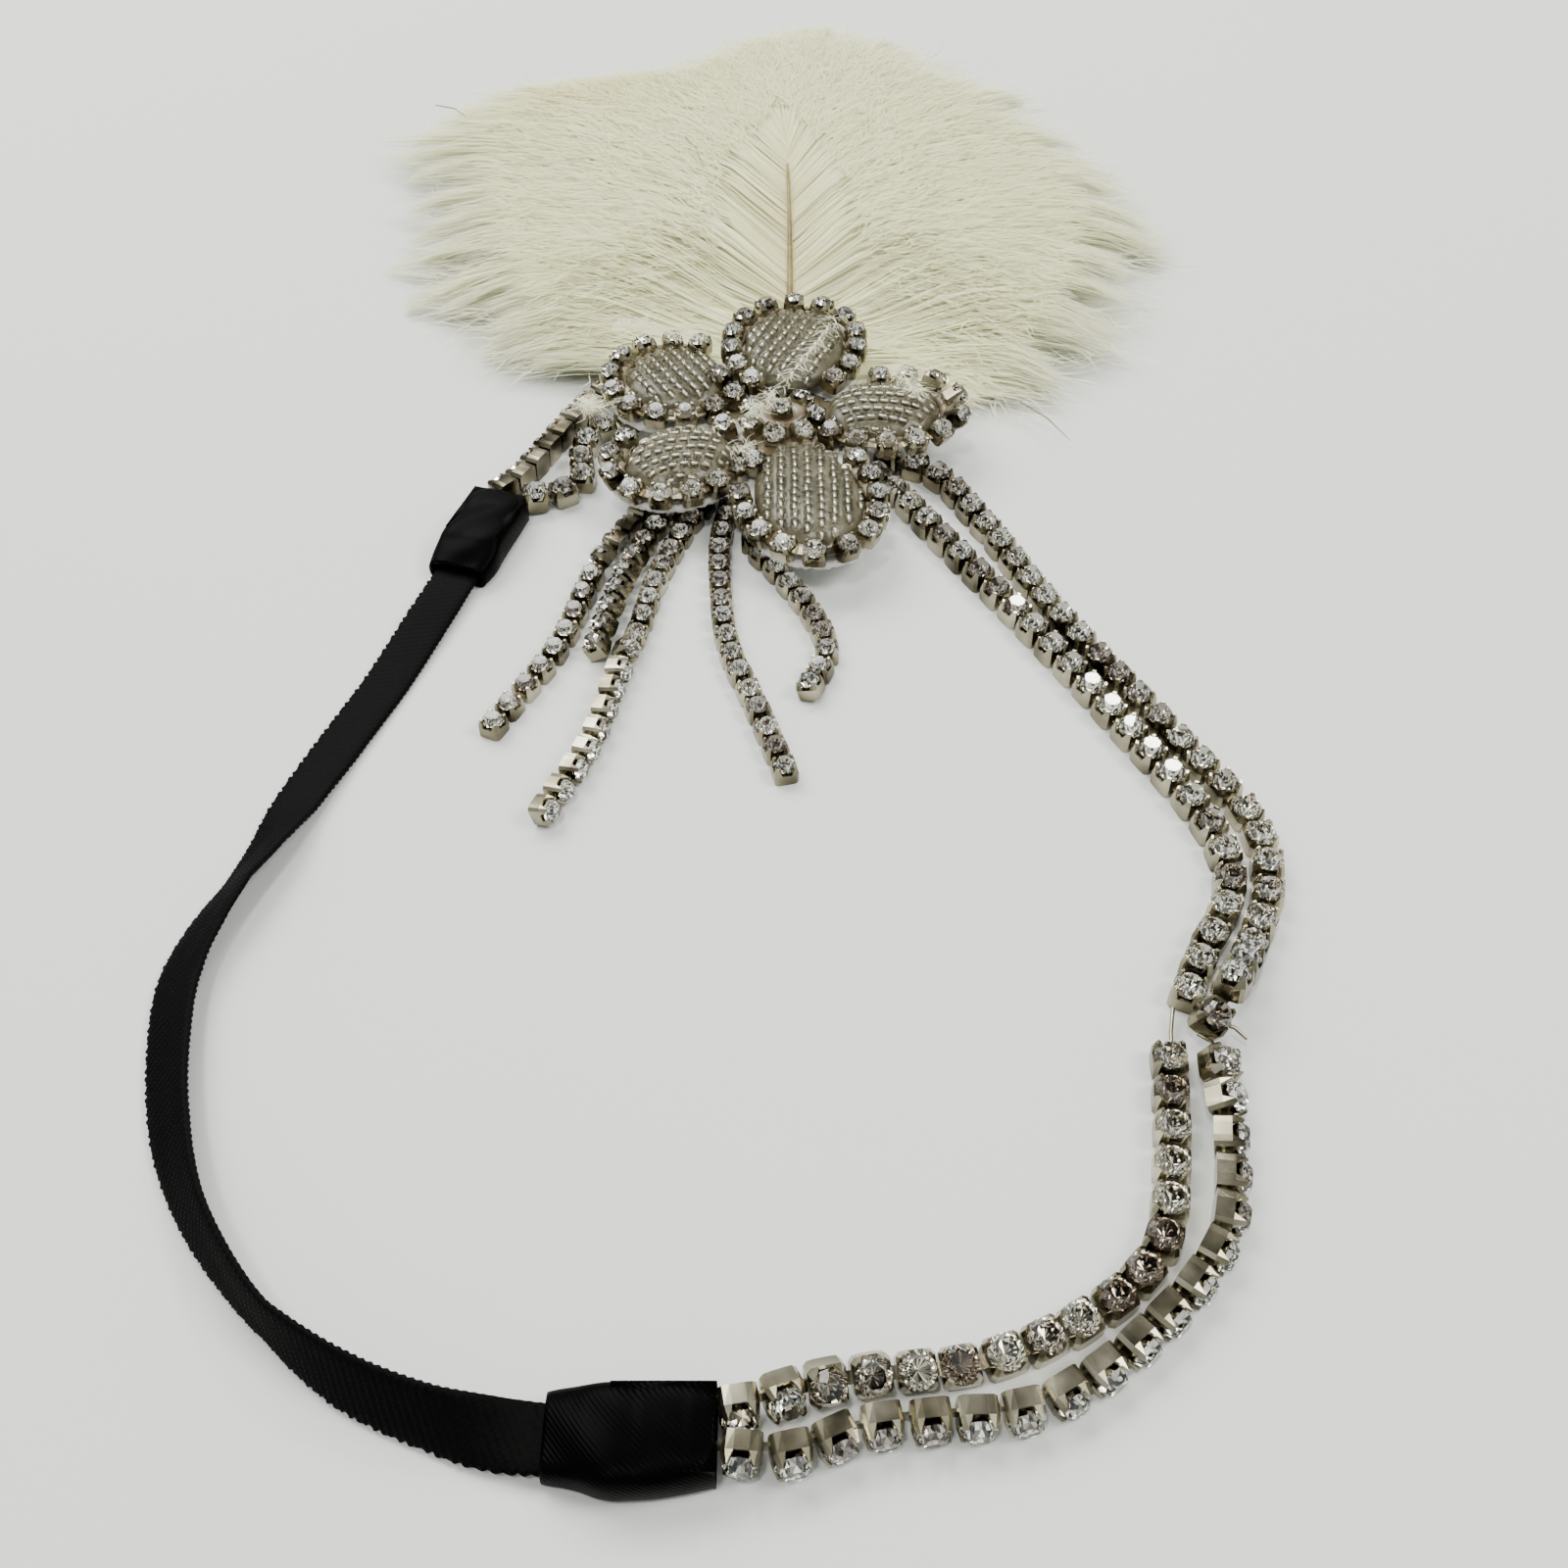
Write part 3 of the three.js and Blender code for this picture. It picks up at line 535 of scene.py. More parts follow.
def string_stones(name, stones, links, kind):
    places = [f["middle"] for f in stones + links]
    cloud = mesh_of(name + "_places", to_frame(places))
    set_attribute(cloud, "turn", "FLOAT_VECTOR", "POINT", [tuple(frame_turn(f)) for f in stones + links])
    set_attribute(cloud, "kind", "INT", "POINT", [0] * len(stones) + [1] * len(links))
    stone, link = TEMPLATES[kind]
    piece = grow(name, new_object(name + "_places", cloud), STRING_TREE, {
        "Stone": stone, "Link": link, "Metal": NICKEL, "Glass": CRYSTAL, "Mirror": FOIL,
    })
    COUNTS[name] = len(stones)
    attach(piece, "root")
    return piece


# %% [markdown]
# The routes of the chains, chosen on the photograph. x and y say where the
# chain lies on the table, lift how high its cups are above it, and roll how far the
# stones turn about the chain: 0 faces up, 90 and -90 lie on one side.

# %% Routes of the chains
ROUTES = {
    "band_chain_upper_outer": {"kind": "band", "points": [
        {"x": 17.2, "y": -2.6, "lift": 0, "roll": 0},
        {"x": 24.6, "y": -6.9, "lift": 0, "roll": 0},
        {"x": 31.2, "y": -18.9, "lift": 0, "roll": 0},
        {"x": 40.4, "y": -40.4, "lift": 0, "roll": 0},
        {"x": 53.6, "y": -65.6, "lift": 0, "roll": 0},
        {"x": 61.9, "y": -82.8, "lift": 0, "roll": 0},
        {"x": 61.8, "y": -93.0, "lift": 0, "roll": 0},
        {"x": 57.0, "y": -104.0, "lift": 0, "roll": 4},
        {"x": 53.8, "y": -109.6, "lift": 2.2, "roll": 8},
        {"x": 50.2, "y": -114.4, "lift": 4.6, "roll": 14},
    ]},
    "band_chain_upper_inner": {"kind": "band", "points": [
        {"x": 15.2, "y": -7.2, "lift": 0, "roll": 0},
        {"x": 18.6, "y": -12.4, "lift": 0, "roll": 0},
        {"x": 26.1, "y": -25.6, "lift": 0, "roll": 0},
        {"x": 35.4, "y": -41.9, "lift": 0, "roll": 0},
        {"x": 46.4, "y": -62.5, "lift": 0, "roll": 0},
        {"x": 56.4, "y": -84.0, "lift": 0, "roll": 0},
        {"x": 56.9, "y": -93.0, "lift": 0, "roll": 0},
        {"x": 51.2, "y": -104.4, "lift": 0, "roll": 0},
        {"x": 46.8, "y": -113.8, "lift": 0, "roll": 0},
    ]},
    "band_chain_lower_inner": {"kind": "band", "points": [
        {"x": 45.0, "y": -119.2, "lift": 0, "roll": 0},
        {"x": 43.3, "y": -131.8, "lift": 0, "roll": 0},
        {"x": 40.4, "y": -142.4, "lift": 0, "roll": 0},
        {"x": 33.6, "y": -149.2, "lift": 0, "roll": 0},
        {"x": 20.8, "y": -155.2, "lift": 0, "roll": -8},
        {"x": 7.2, "y": -157.4, "lift": 0, "roll": -34},
        {"x": -4.8, "y": -160.8, "lift": 0.7, "roll": -89},
        {"x": -13.6, "y": -160.9, "lift": 0.7, "roll": -90},
    ]},
    "band_chain_lower_outer": {"kind": "band", "points": [
        {"x": 50.8, "y": -120.2, "lift": 0, "roll": -30},
        {"x": 50.1, "y": -130.2, "lift": 0, "roll": -80},
        {"x": 47.6, "y": -141.2, "lift": 0, "roll": -90},
        {"x": 38.6, "y": -151.8, "lift": 0, "roll": -90},
        {"x": 25.6, "y": -160.2, "lift": 0, "roll": -90},
        {"x": 8.4, "y": -162.4, "lift": 0, "roll": -90},
        {"x": 0.6, "y": -165.1, "lift": 0.4, "roll": -90},
        {"x": -5.4, "y": -165.1, "lift": 0.7, "roll": -90},
        {"x": -13.6, "y": -165.1, "lift": 0.7, "roll": -90},
    ]},
    "side_chain_back": {"kind": "band", "points": [
        {"x": -31.3, "y": 15.4, "lift": 0, "roll": 80},
        {"x": -34.6, "y": 10.4, "lift": 0, "roll": 84},
        {"x": -38.6, "y": 1.8, "lift": 0, "roll": 88},
        {"x": -43.0, "y": -8.4, "lift": 0.2, "roll": 90},
        {"x": -46.7, "y": -14.5, "lift": 0.7, "roll": 90},
        {"x": -48.5, "y": -20.5, "lift": 0.7, "roll": 90},
    ]},
    "side_chain_front": {"kind": "band", "points": [
        {"x": -26.4, "y": 8.4, "lift": 0, "roll": 0},
        {"x": -31.4, "y": 5.4, "lift": 0, "roll": 0},
        {"x": -33.4, "y": -1.4, "lift": 0, "roll": 0},
        {"x": -33.0, "y": -8.6, "lift": 0, "roll": 0},
        {"x": -36.8, "y": -12.6, "lift": 0.2, "roll": 0},
        {"x": -41.9, "y": -14.8, "lift": 0.7, "roll": 0},
        {"x": -44.5, "y": -21.8, "lift": 0.8, "roll": 0},
    ]},
    "fringe_1": {"kind": "fringe", "points": [
        {"x": -21.4, "y": -13.2, "lift": 0, "roll": 80},
        {"x": -24.4, "y": -19.8, "lift": 0, "roll": 90},
        {"x": -27.4, "y": -26.6, "lift": 0, "roll": 74},
        {"x": -29.4, "y": -32.6, "lift": 0, "roll": 6},
        {"x": -33.0, "y": -47.6, "lift": 0, "roll": 0},
        {"x": -40.6, "y": -63.9, "lift": 0, "roll": 0},
    ]},
    "fringe_2": {"kind": "fringe", "points": [
        {"x": -16.2, "y": -13.0, "lift": 0, "roll": 0},
        {"x": -20.0, "y": -19.6, "lift": 0, "roll": 0},
        {"x": -22.4, "y": -25.8, "lift": 0, "roll": 14},
        {"x": -24.2, "y": -32.0, "lift": 0, "roll": 40},
        {"x": -26.0, "y": -39.6, "lift": 0, "roll": 38},
        {"x": -27.5, "y": -48.2, "lift": 0, "roll": 30},
    ]},
    "fringe_3": {"kind": "fringe", "points": [
        {"x": -13.0, "y": -14.8, "lift": 0, "roll": 0},
        {"x": -15.4, "y": -20.2, "lift": 0, "roll": 0},
        {"x": -19.3, "y": -32.2, "lift": 0, "roll": 0},
        {"x": -21.6, "y": -45.2, "lift": 0, "roll": -10},
        {"x": -23.6, "y": -54.0, "lift": 0, "roll": -80},
        {"x": -26.6, "y": -68.0, "lift": 0, "roll": -90},
        {"x": -31.4, "y": -80.5, "lift": 0, "roll": -74},
    ]},
    "fringe_4": {"kind": "fringe", "points": [
        {"x": -8.6, "y": -13.8, "lift": 0, "roll": 0},
        {"x": -10.0, "y": -23.6, "lift": 0, "roll": 0},
        {"x": -9.6, "y": -35.6, "lift": 0, "roll": 0},
        {"x": -8.1, "y": -47.8, "lift": 0, "roll": 0},
        {"x": -3.9, "y": -60.2, "lift": 0, "roll": 0},
        {"x": 0.1, "y": -72.5, "lift": 0, "roll": 0},
    ]},
    "fringe_5": {"kind": "fringe", "points": [
        {"x": -3.6, "y": -15.6, "lift": 0, "roll": 0},
        {"x": -4.9, "y": -24.4, "lift": 0, "roll": 0},
        {"x": -1.4, "y": -30.2, "lift": 0, "roll": 0},
        {"x": 4.2, "y": -40.8, "lift": 0, "roll": 0},
        {"x": 6.3, "y": -48.6, "lift": 0, "roll": 0},
        {"x": 3.6, "y": -56.6, "lift": 0, "roll": 18},
    ]},
}
ELASTIC_ROUTE = [
    {"x": -47.7, "y": -25.0, "lift": 1.2, "roll": 0},
    {"x": -49.9, "y": -31.9, "lift": 1.1, "roll": 0},
    {"x": -52.8, "y": -41.4, "lift": 0.6, "roll": -4},
    {"x": -57.4, "y": -55.6, "lift": 0, "roll": 0},
    {"x": -62.3, "y": -69.4, "lift": 0, "roll": 2},
    {"x": -65.4, "y": -79.1, "lift": 0, "roll": 10},
    {"x": -67.2, "y": -86.6, "lift": 0, "roll": 32},
    {"x": -69.4, "y": -93.2, "lift": 0, "roll": 44},
    {"x": -71.8, "y": -99.6, "lift": 0, "roll": 34},
    {"x": -73.3, "y": -107.4, "lift": 0, "roll": 28},
    {"x": -71.8, "y": -118.9, "lift": 0, "roll": 34},
    {"x": -68.6, "y": -129.8, "lift": 0, "roll": 42},
    {"x": -64.0, "y": -139.0, "lift": 0, "roll": 59},
    {"x": -58.2, "y": -146.6, "lift": 0, "roll": 71},
    {"x": -53.0, "y": -151.8, "lift": 0, "roll": 78},
    {"x": -44.2, "y": -157.8, "lift": 0, "roll": 60},
    {"x": -34.6, "y": -161.6, "lift": 0, "roll": 50},
    {"x": -28.8, "y": -162.8, "lift": 0.4, "roll": 26},
    {"x": -24.4, "y": -163.1, "lift": 1.0, "roll": 4},
    {"x": -17.0, "y": -163.1, "lift": 1.2, "roll": 0},
]

# %% [markdown]
# A smooth curve goes through the chosen points, with knots spaced by the square root
# of each step so that it never loops at a tight bend. Walking along it at equal
# steps gives the places of the stones, and each place gets its three axes.

# %% Walking along a route
CURVE_STEPS = 600


def hermite(points, t):
    """Centripetal curve through the points, at t from 0 to one less than their number."""
    count = len(points)
    row = min(int(t), count - 2)
    p1, p2 = points[row], points[row + 1]
    p0 = points[row - 1] if row > 0 else 2 * points[0] - points[1]
    p3 = points[row + 2] if row + 2 < count else 2 * points[-1] - points[-2]
    gaps = [max(np.linalg.norm(b - a) ** 0.5, 1e-4) for a, b in ((p0, p1), (p1, p2), (p2, p3))]
    start = ((p1 - p0) / gaps[0] - (p2 - p0) / (gaps[0] + gaps[1]) + (p2 - p1) / gaps[1]) * gaps[1]
    end = ((p2 - p1) / gaps[1] - (p3 - p1) / (gaps[1] + gaps[2]) + (p3 - p2) / gaps[2]) * gaps[1]
    w = t - row
    cubic = 2 * p1 - 2 * p2 + start + end
    square = -3 * p1 + 3 * p2 - 2 * start - end
    return p1 + start * w + square * w ** 2 + cubic * w ** 3


class Route:
    def __init__(self, rows):
        self.rolls = [row["roll"] for row in rows]
        points = [np.array([row["x"], row["y"], row["lift"]]) for row in rows]
        self.knots = np.linspace(0, len(points) - 1, CURVE_STEPS + 1)
        self.line = np.array([hermite(points, t) for t in self.knots])
        steps = np.linalg.norm(np.diff(self.line, axis=0), axis=1)
        self.runs = np.concatenate([[0], np.cumsum(steps)])
        self.length = self.runs[-1]

    def place(self, share):
        run = share * self.length
        return np.array([np.interp(run, self.runs, self.line[:, axis]) for axis in range(3)])

    def frame(self, share):
        step = 0.4 / self.length
        ahead = self.place(min(1, share + step)) - self.place(max(0, share - step))
        along = Vector(ahead).normalized()
        knot = np.interp(share * self.length, self.runs, self.knots)
        roll = math.radians(np.interp(knot, range(len(self.rolls)), self.rolls))
        side = along.cross(UP).normalized()
        out = side.cross(along).normalized() * math.cos(roll) + side * math.sin(roll)
        across = out.cross(along).normalized()
        return {"middle": Vector(self.place(share)), "along": along, "across": across,
                "out": out, "side": side, "roll": roll}


def place_in(frame, along, across, out):
    return frame["middle"] + frame["along"] * along + frame["across"] * across + frame["out"] * out


def settle(frame, half, low, high):
    """Lifts a section until its lowest corner is as high as the route."""
    lift = max(0.0, frame["middle"].z)
    lowest = min(place_in(frame, 0, s, o).z for s in (-half, half) for o in (low, high))
    frame["middle"].z += lift - lowest


# %% [markdown]
# Each chain hangs together by small straps between the backs of its cups. A real
# chain is never quite straight, so each stone gets a degree or two of its own.

# %% The chains
SWAY = math.radians(2.2)


def chain_frames(route, size):
    steps = round(route.length / size["pitch"])
    frames = []
    for i in range(steps + 1):
        frame = route.frame(i / steps)
        frame["middle"] -= frame["side"] * (math.sin(frame["roll"]) * size["tall"] / 2)
        settle(frame, size["cup"] / 2, 0, size["deep"])
        frame["middle"].z += abs(frame["along"].z) * size["cup"] / 2
        frames.append(frame)
    return frames


def between(a, b):
    """The frame halfway between two stones, for the strap that joins them."""
    along = (b["middle"] - a["middle"]).normalized()
    out = (a["out"] + b["out"]).normalized()
    across = out.cross(along).normalized()
    return {"middle": (a["middle"] + b["middle"]) / 2, "along": along, "across": across,
            "out": along.cross(across)}


def swayed(frame):
    turn = Matrix.Rotation(RNG.normal(0, SWAY), 3, frame["out"]) @ Matrix.Rotation(
        RNG.normal(0, SWAY), 3, frame["across"])
    return {"middle": frame["middle"], "along": turn @ frame["along"],
            "across": turn @ frame["across"], "out": turn @ frame["out"]}


def add_string(name, frames, kind, node):
    links = [between(a, b) for a, b in zip(frames, frames[1:])]
    piece = string_stones(name, [swayed(f) for f in frames], links, kind)
    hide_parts(node)
    return piece


CROSSING = {"x": 50.6, "y": -115.1, "z": 5.0, "facing": (0.34, -0.22, 0.91)}


def crossing_frame():
    """The last stone of the upper outer chain has rolled over the joint."""
    out = Vector(CROSSING["facing"]).normalized()
    along = Vector((0, 0, 1)).cross(out).normalized()
    middle = Vector([CROSSING[k] for k in "xyz"]) - out * CHAIN["band"]["deep"]
    middle.z = max(middle.z, CHAIN["band"]["cup"] / 2 * math.hypot(out.x, out.y))
    return {"middle": middle, "along": along, "across": out.cross(along), "out": out}


for chain, row in ROUTES.items():
    frames = chain_frames(Route(row["points"]), CHAIN[row["kind"]])
    if chain == "band_chain_upper_outer":
        frames[-1] = crossing_frame()
        before, crossing = frames[-2]["middle"], frames[-1]["middle"]
        print("crossing stone at", crossing.to_tuple(1), "after", before.to_tuple(1))
    if chain == "band_chain_upper_inner":
        frames.pop()
    add_string(chain + "_stones", frames, row["kind"], chain)
print("stones in the chains", sum(COUNTS.values()))

# %% [markdown]
# The elastic is braided: fine ribs run slantwise across it, and its outer edge swells
# between the stitches. It is a grid along the route, four faces round, whose rows
# are close enough to carry the ribs as real relief.

# %% The elastic
RIB_PITCH = 0.95
RIB_DEEP = 0.16
RIB_SLANT = 0.55
SCALLOP = 0.28
SCALLOP_PITCH = 1.4
ELASTIC_COLUMNS = 14
ELASTIC_ROW = 0.24

BLACK_BRAID = new_material("black_braid", (0.001, 0.001, 0.001), Roughness=0.6, Specular_IOR_Level=0.05)
color_by(BLACK_BRAID, noise(BLACK_BRAID, 1800, 4), [
    (0.3, (0.0003, 0.0003, 0.0003)),
    (0.7, (0.0012, 0.0012, 0.0012)),
])
bump_by(BLACK_BRAID, noise(BLACK_BRAID, 3200, 3), 0.08)


def add_elastic():
    route = Route(ELASTIC_ROUTE)
    rows = round(route.length / ELASTIC_ROW)
    half, thick = ELASTIC_WIDTH / 2, ELASTIC_THICK / 2 - RIB_DEEP
    points = []
    for i in range(rows + 1):
        run = i / rows * route.length
        frame = route.frame(i / rows)
        settle(frame, half, -thick - RIB_DEEP, thick + RIB_DEEP)
        outer = half - SCALLOP + SCALLOP * abs(math.sin(math.pi * run / SCALLOP_PITCH))
        for side in (1, -1):
            for c in range(ELASTIC_COLUMNS + 1):
                share = 2 * c / ELASTIC_COLUMNS - 1
                across = share * side
                across *= half if across > 0 else outer
                rib = math.cos(2 * math.pi * (run + RIB_SLANT * across) / RIB_PITCH)
                edge_fall = 1 - 0.55 * abs(share) ** 6
                points.append(place_in(frame, 0, across, side * (thick * edge_fall + RIB_DEEP * rib)))
    columns = 2 * (ELASTIC_COLUMNS + 1)
    faces = grid_faces(rows + 1, columns, closed=True)
    faces += [tuple(reversed(range(columns))), tuple(range(rows * columns, (rows + 1) * columns))]
    mesh = mesh_of("elastic", to_frame(points), faces)
    outward(mesh)
    smooth(mesh)
    mesh.materials.append(BLACK_BRAID)
    piece = new_object("elastic_braid", mesh)
    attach(piece, "root")
    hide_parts("elastic_band")
    print("elastic", round(route.length, 1), "mm long,", len(mesh.polygons), "faces")


add_elastic()

# %% [markdown]
# A wrap is satin ribbon wound twice round the joint and glued. Its skin follows the
# table of sections, rounded over the crown, with soft ridges where the turns overlap
# and a fine twill that only the bump shows.

# %% The satin wraps
WRAP_SIDE = [(0.40, 0.00), (0.50, 0.16), (0.50, 0.70), (0.42, 0.93), (0.18, 1.00)]
SECTION_BLUR = (-0.07, -0.035, 0.0, 0.035, 0.07)
END_PINCH = 0.06
FOLD_FROM = 0.3
CROWN_FROM = 0.8
CROWN_RIPPLE = 0.1
WRAP_ROWS = 40
WRAP_ROUND = 64
FOLD_HIGH = 0.3
FOLD_SOFT = 0.02
CHAIN_POCKET = {"room": 4.4, "ceiling": 5.2, "start": -0.12}
ELASTIC_POCKET = {"room": 3.8, "ceiling": 3.0}

SATIN = new_material("black_satin", (0.0002, 0.0002, 0.0002), Roughness=0.34, Specular_IOR_Level=0.022)
value_by(SATIN, noise(SATIN, 240, 3), 0.28, 0.46, "Roughness")


def twill(material):
    place = add_node(material, "ShaderNodeTexCoord")
    wave = add_node(material, "ShaderNodeTexWave", Scale=900.0, Distortion=0.6,
                    bands_direction="DIAGONAL")
    join_nodes(material, (place.outputs["Object"], wave.inputs["Vector"]))
    bump_by(material, wave.outputs["Fac"], 0.04, 0.6)


twill(SATIN)


def wrap_outline():
    """The closed section of a wrap, smoothed and evenly spaced, as shares of width and height."""
    corners = WRAP_SIDE + [(-a, h) for a, h in reversed(WRAP_SIDE)]
    line = np.array(corners + corners[:1])
    for _ in range(2):
        start, end = line[:-1], line[1:]
        line = np.stack([start * 0.75 + end * 0.25, start * 0.25 + end * 0.75], axis=1).reshape(-1, 2)
        line = np.vstack([line, line[:1]])
    runs = np.concatenate([[0], np.cumsum(np.linalg.norm(np.diff(line, axis=0), axis=1))])
    shares = np.linspace(0, runs[-1], WRAP_ROUND, endpoint=False)
    return np.array([[np.interp(s, runs, line[:, k]) for k in range(2)] for s in shares])


def section_at(wrap, along):
    table = wrap["sections"]
    places = [s["along"] for s in table]
    near = np.clip(along, places[0], places[-1])
    row = {key: np.interp(near, places, [s[key] for s in table]) for key in ("wide", "high", "side")}
    return row


def add_wrap(name, wrap, folds):
    along, left = bearing_axes(wrap["bearing"])
    foot = np.array([wrap["x"], wrap["y"], 0.0])
    outline = wrap_outline()
    points = []
    for i in range(WRAP_ROWS):
        share = mix(-0.5, 0.5, i / (WRAP_ROWS - 1))
        near = [section_at(wrap, share + offset) for offset in SECTION_BLUR]
        row = {key: np.mean([n[key] for n in near]) for key in near[0]}
        steps = [(1 + math.tanh((share - place) / FOLD_SOFT)) / 2 for place in folds]
        ridge = sum(FOLD_HIGH / len(folds) * step for step in steps)
        pinch = 1 - END_PINCH * abs(2 * share) ** 6
        for across, high in outline:
            ripple = CROWN_RIPPLE * math.sin(9 * across + 14 * share)
            slant = ridge * (high > FOLD_FROM) + ripple * (high > CROWN_FROM)
            side = (across * row["wide"] * pinch + row["side"]) * WRAP_WIDTH
            lift = high * row["high"] * (WRAP_HEIGHT - FOLD_HIGH) * pinch + slant
            points.append(foot + along * share * WRAP_LENGTH + left * side + np.array([0, 0, lift]))
    start = CHAIN_POCKET["start"]
    inside = [(0.5, CHAIN_POCKET), (start, CHAIN_POCKET),
              (start, ELASTIC_POCKET), (-0.5, ELASTIC_POCKET)]
    for share, pocket in inside:
        for across, high in outline:
            side = np.clip(across * 2.6, -1, 1) * pocket["room"]
            lift = mix(WRAP_WALL, pocket["ceiling"], np.clip(high * 1.25 - 0.1, 0, 1))
            points.append(foot + along * share * WRAP_LENGTH + left * side + np.array([0, 0, lift]))
    rows = WRAP_ROWS + 4
    faces = grid_faces(rows, WRAP_ROUND, closed=True)
    last = (rows - 1) * WRAP_ROUND
    for c in range(WRAP_ROUND):
        d = (c + 1) % WRAP_ROUND
        faces.append((last + c, last + d, d, c))
    mesh = mesh_of(name, to_frame(points), faces)
    outward(mesh)
    smooth(mesh)
    mesh.materials.append(SATIN)
    piece = new_object(name + "_satin", mesh)
    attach(piece, "root")
    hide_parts(name)


add_wrap("ribbon_wrap_upper", WRAPS["ribbon_wrap_upper"], [-0.22, 0.3])
add_wrap("ribbon_wrap_lower", WRAPS["ribbon_wrap_lower"], [-0.3, 0.05, 0.34])

# %% [markdown]
# The flower is cut from felt. The felt is a copy of its solid, remeshed finely, so
# that its cut edge can be rounded and its face roughened by noise.

# %% The felt
FELT_VOXEL = 0.45
FUZZ = 0.09
FELT_WHITE = new_material("white_felt", (0.80, 0.78, 0.72), Roughness=0.95, Sheen_Weight=0.4,
                          Sheen_Roughness=0.6, Specular_IOR_Level=0.2)
color_by(FELT_WHITE, noise(FELT_WHITE, 700, 4), [
    (0.3, (0.70, 0.67, 0.60)),
    (0.7, (0.88, 0.87, 0.82)),
])
bump_by(FELT_WHITE, noise(FELT_WHITE, 2600, 4), 0.2)


def merged_copy(node, name):
    mesh = bpy.data.objects[node].data.copy()
    work = bmesh.new()
    work.from_mesh(mesh)
    bmesh.ops.remove_doubles(work, verts=work.verts, dist=1e-6)
    work.to_mesh(mesh)
    work.free()
    mesh.name = name
    mesh.materials.clear()
    return new_object(name, mesh)


def apply_modifiers(piece):
    depsgraph = bpy.context.evaluated_depsgraph_get()
    mesh = bpy.data.meshes.new_from_object(piece.evaluated_get(depsgraph))
    piece.modifiers.clear()
    piece.data = mesh


def add_felt():
    piece = merged_copy("felt_backing", "felt_cut")
    remesh = piece.modifiers.new("fine", "REMESH")
    remesh.mode = "VOXEL"
    remesh.voxel_size = FELT_VOXEL * MM
    soften = piece.modifiers.new("soften", "SMOOTH")
    soften.iterations = 2
    apply_modifiers(piece)
    mesh = piece.data
    points = np.empty(len(mesh.vertices) * 3)
    mesh.vertices.foreach_get("co", points)
    lumps = RNG.normal(0, FUZZ * MM, (len(mesh.vertices), 1))
    normals = np.array([v.normal[:] for v in mesh.vertices])
    mesh.vertices.foreach_set("co", (points.reshape(-1, 3) + normals * lumps).ravel())
    smooth(mesh)
    mesh.materials.append(FELT_WHITE)
    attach(piece, "root")
    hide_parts("felt_backing")
    area = sum(p.area * max(p.normal.z, 0) for p in mesh.polygons)
    print("felt faces", len(mesh.polygons), "flat area in square mm", round(area / MM ** 2))


add_felt()

# %% [markdown]
# Each petal is an egg shape given by a few shares. The same table as the solids'
# places its rim of stones, its domed pad and the rows of beads on it.

# %% Petal shapes
PETAL_REACH = 20.0
PETAL_LONG = 24.0
PETAL_WIDE = 20.0
PAD_THICK = 1.6
PAD_CROWN = 2.2
RIM_LEAN = 8.0
FELT_Z = CHAIN["band"]["tall"] + 0.3
PETAL_Z = FELT_Z + 1.2 + 0.3
PAD_INSET = CHAIN["rim"]["cup"] / 2 + 0.3
PETALS = {
    "top": {"bearing": 85, "reach": 0.94, "long": 1.08, "wide": 1.05, "pinch": 0.10,
            "lift": 1.0, "curl": 20, "from": -132, "to": 142},
    "upper_left": {"bearing": 148.4, "reach": 1.06, "long": 0.87, "wide": 1.05, "pinch": 0.04,
                   "lift": 0.3, "curl": 24, "from": -78, "to": 186},
    "lower_left": {"bearing": 211, "reach": 0.965, "long": 0.92, "wide": 0.90, "pinch": 0.06,
                   "lift": 0, "curl": 24, "from": -60, "to": 150},
    "bottom": {"bearing": 281, "reach": 0.965, "long": 1.22, "wide": 1.04, "pinch": 0.06,
               "lift": 0, "curl": 16, "from": -93, "to": 116},
    "right": {"bearing": 8, "reach": 0.825, "long": 0.945, "wide": 0.90, "pinch": 0.04,
              "lift": 0.2, "curl": 58, "from": -146, "to": 86},
}


def petal_edge(petal, degrees, inset=0.0):
    along, left = bearing_axes(petal["bearing"])
    angle = math.radians(degrees)
    long = petal["long"] * PETAL_LONG / 2 - inset
    wide = petal["wide"] * PETAL_WIDE / 2 - inset
    ahead = petal["reach"] * PETAL_REACH + long * math.cos(angle)
    aside = wide * math.sin(angle) * (1 + petal["pinch"] * math.cos(angle))
    outward_there = along * wide * math.cos(angle) + left * long * math.sin(angle)
    return along * ahead + left * aside, outward_there / np.linalg.norm(outward_there)


def petal_floor(petal):
    return PETAL_Z + petal["lift"] * PAD_THICK


def leaning(middle, outward_there, lean):
    """Axes of a stone that leans outward by an angle in degrees."""
    along = UP.cross(Vector(outward_there)).normalized()
    out = Matrix.Rotation(math.radians(lean), 3, along) @ UP
    across = out.cross(along).normalized()
    return {"middle": Vector(middle), "along": along, "across": across, "out": out}


# %% [markdown]
# The rim of a petal is the same cup chain, bent round its edge and glued. Its stones
# lean outward, most at the petal's tip. The right petal's tip has curled over, so its
# stones almost stand on their side.

# %% The rims
RIM_SAMPLES = 120


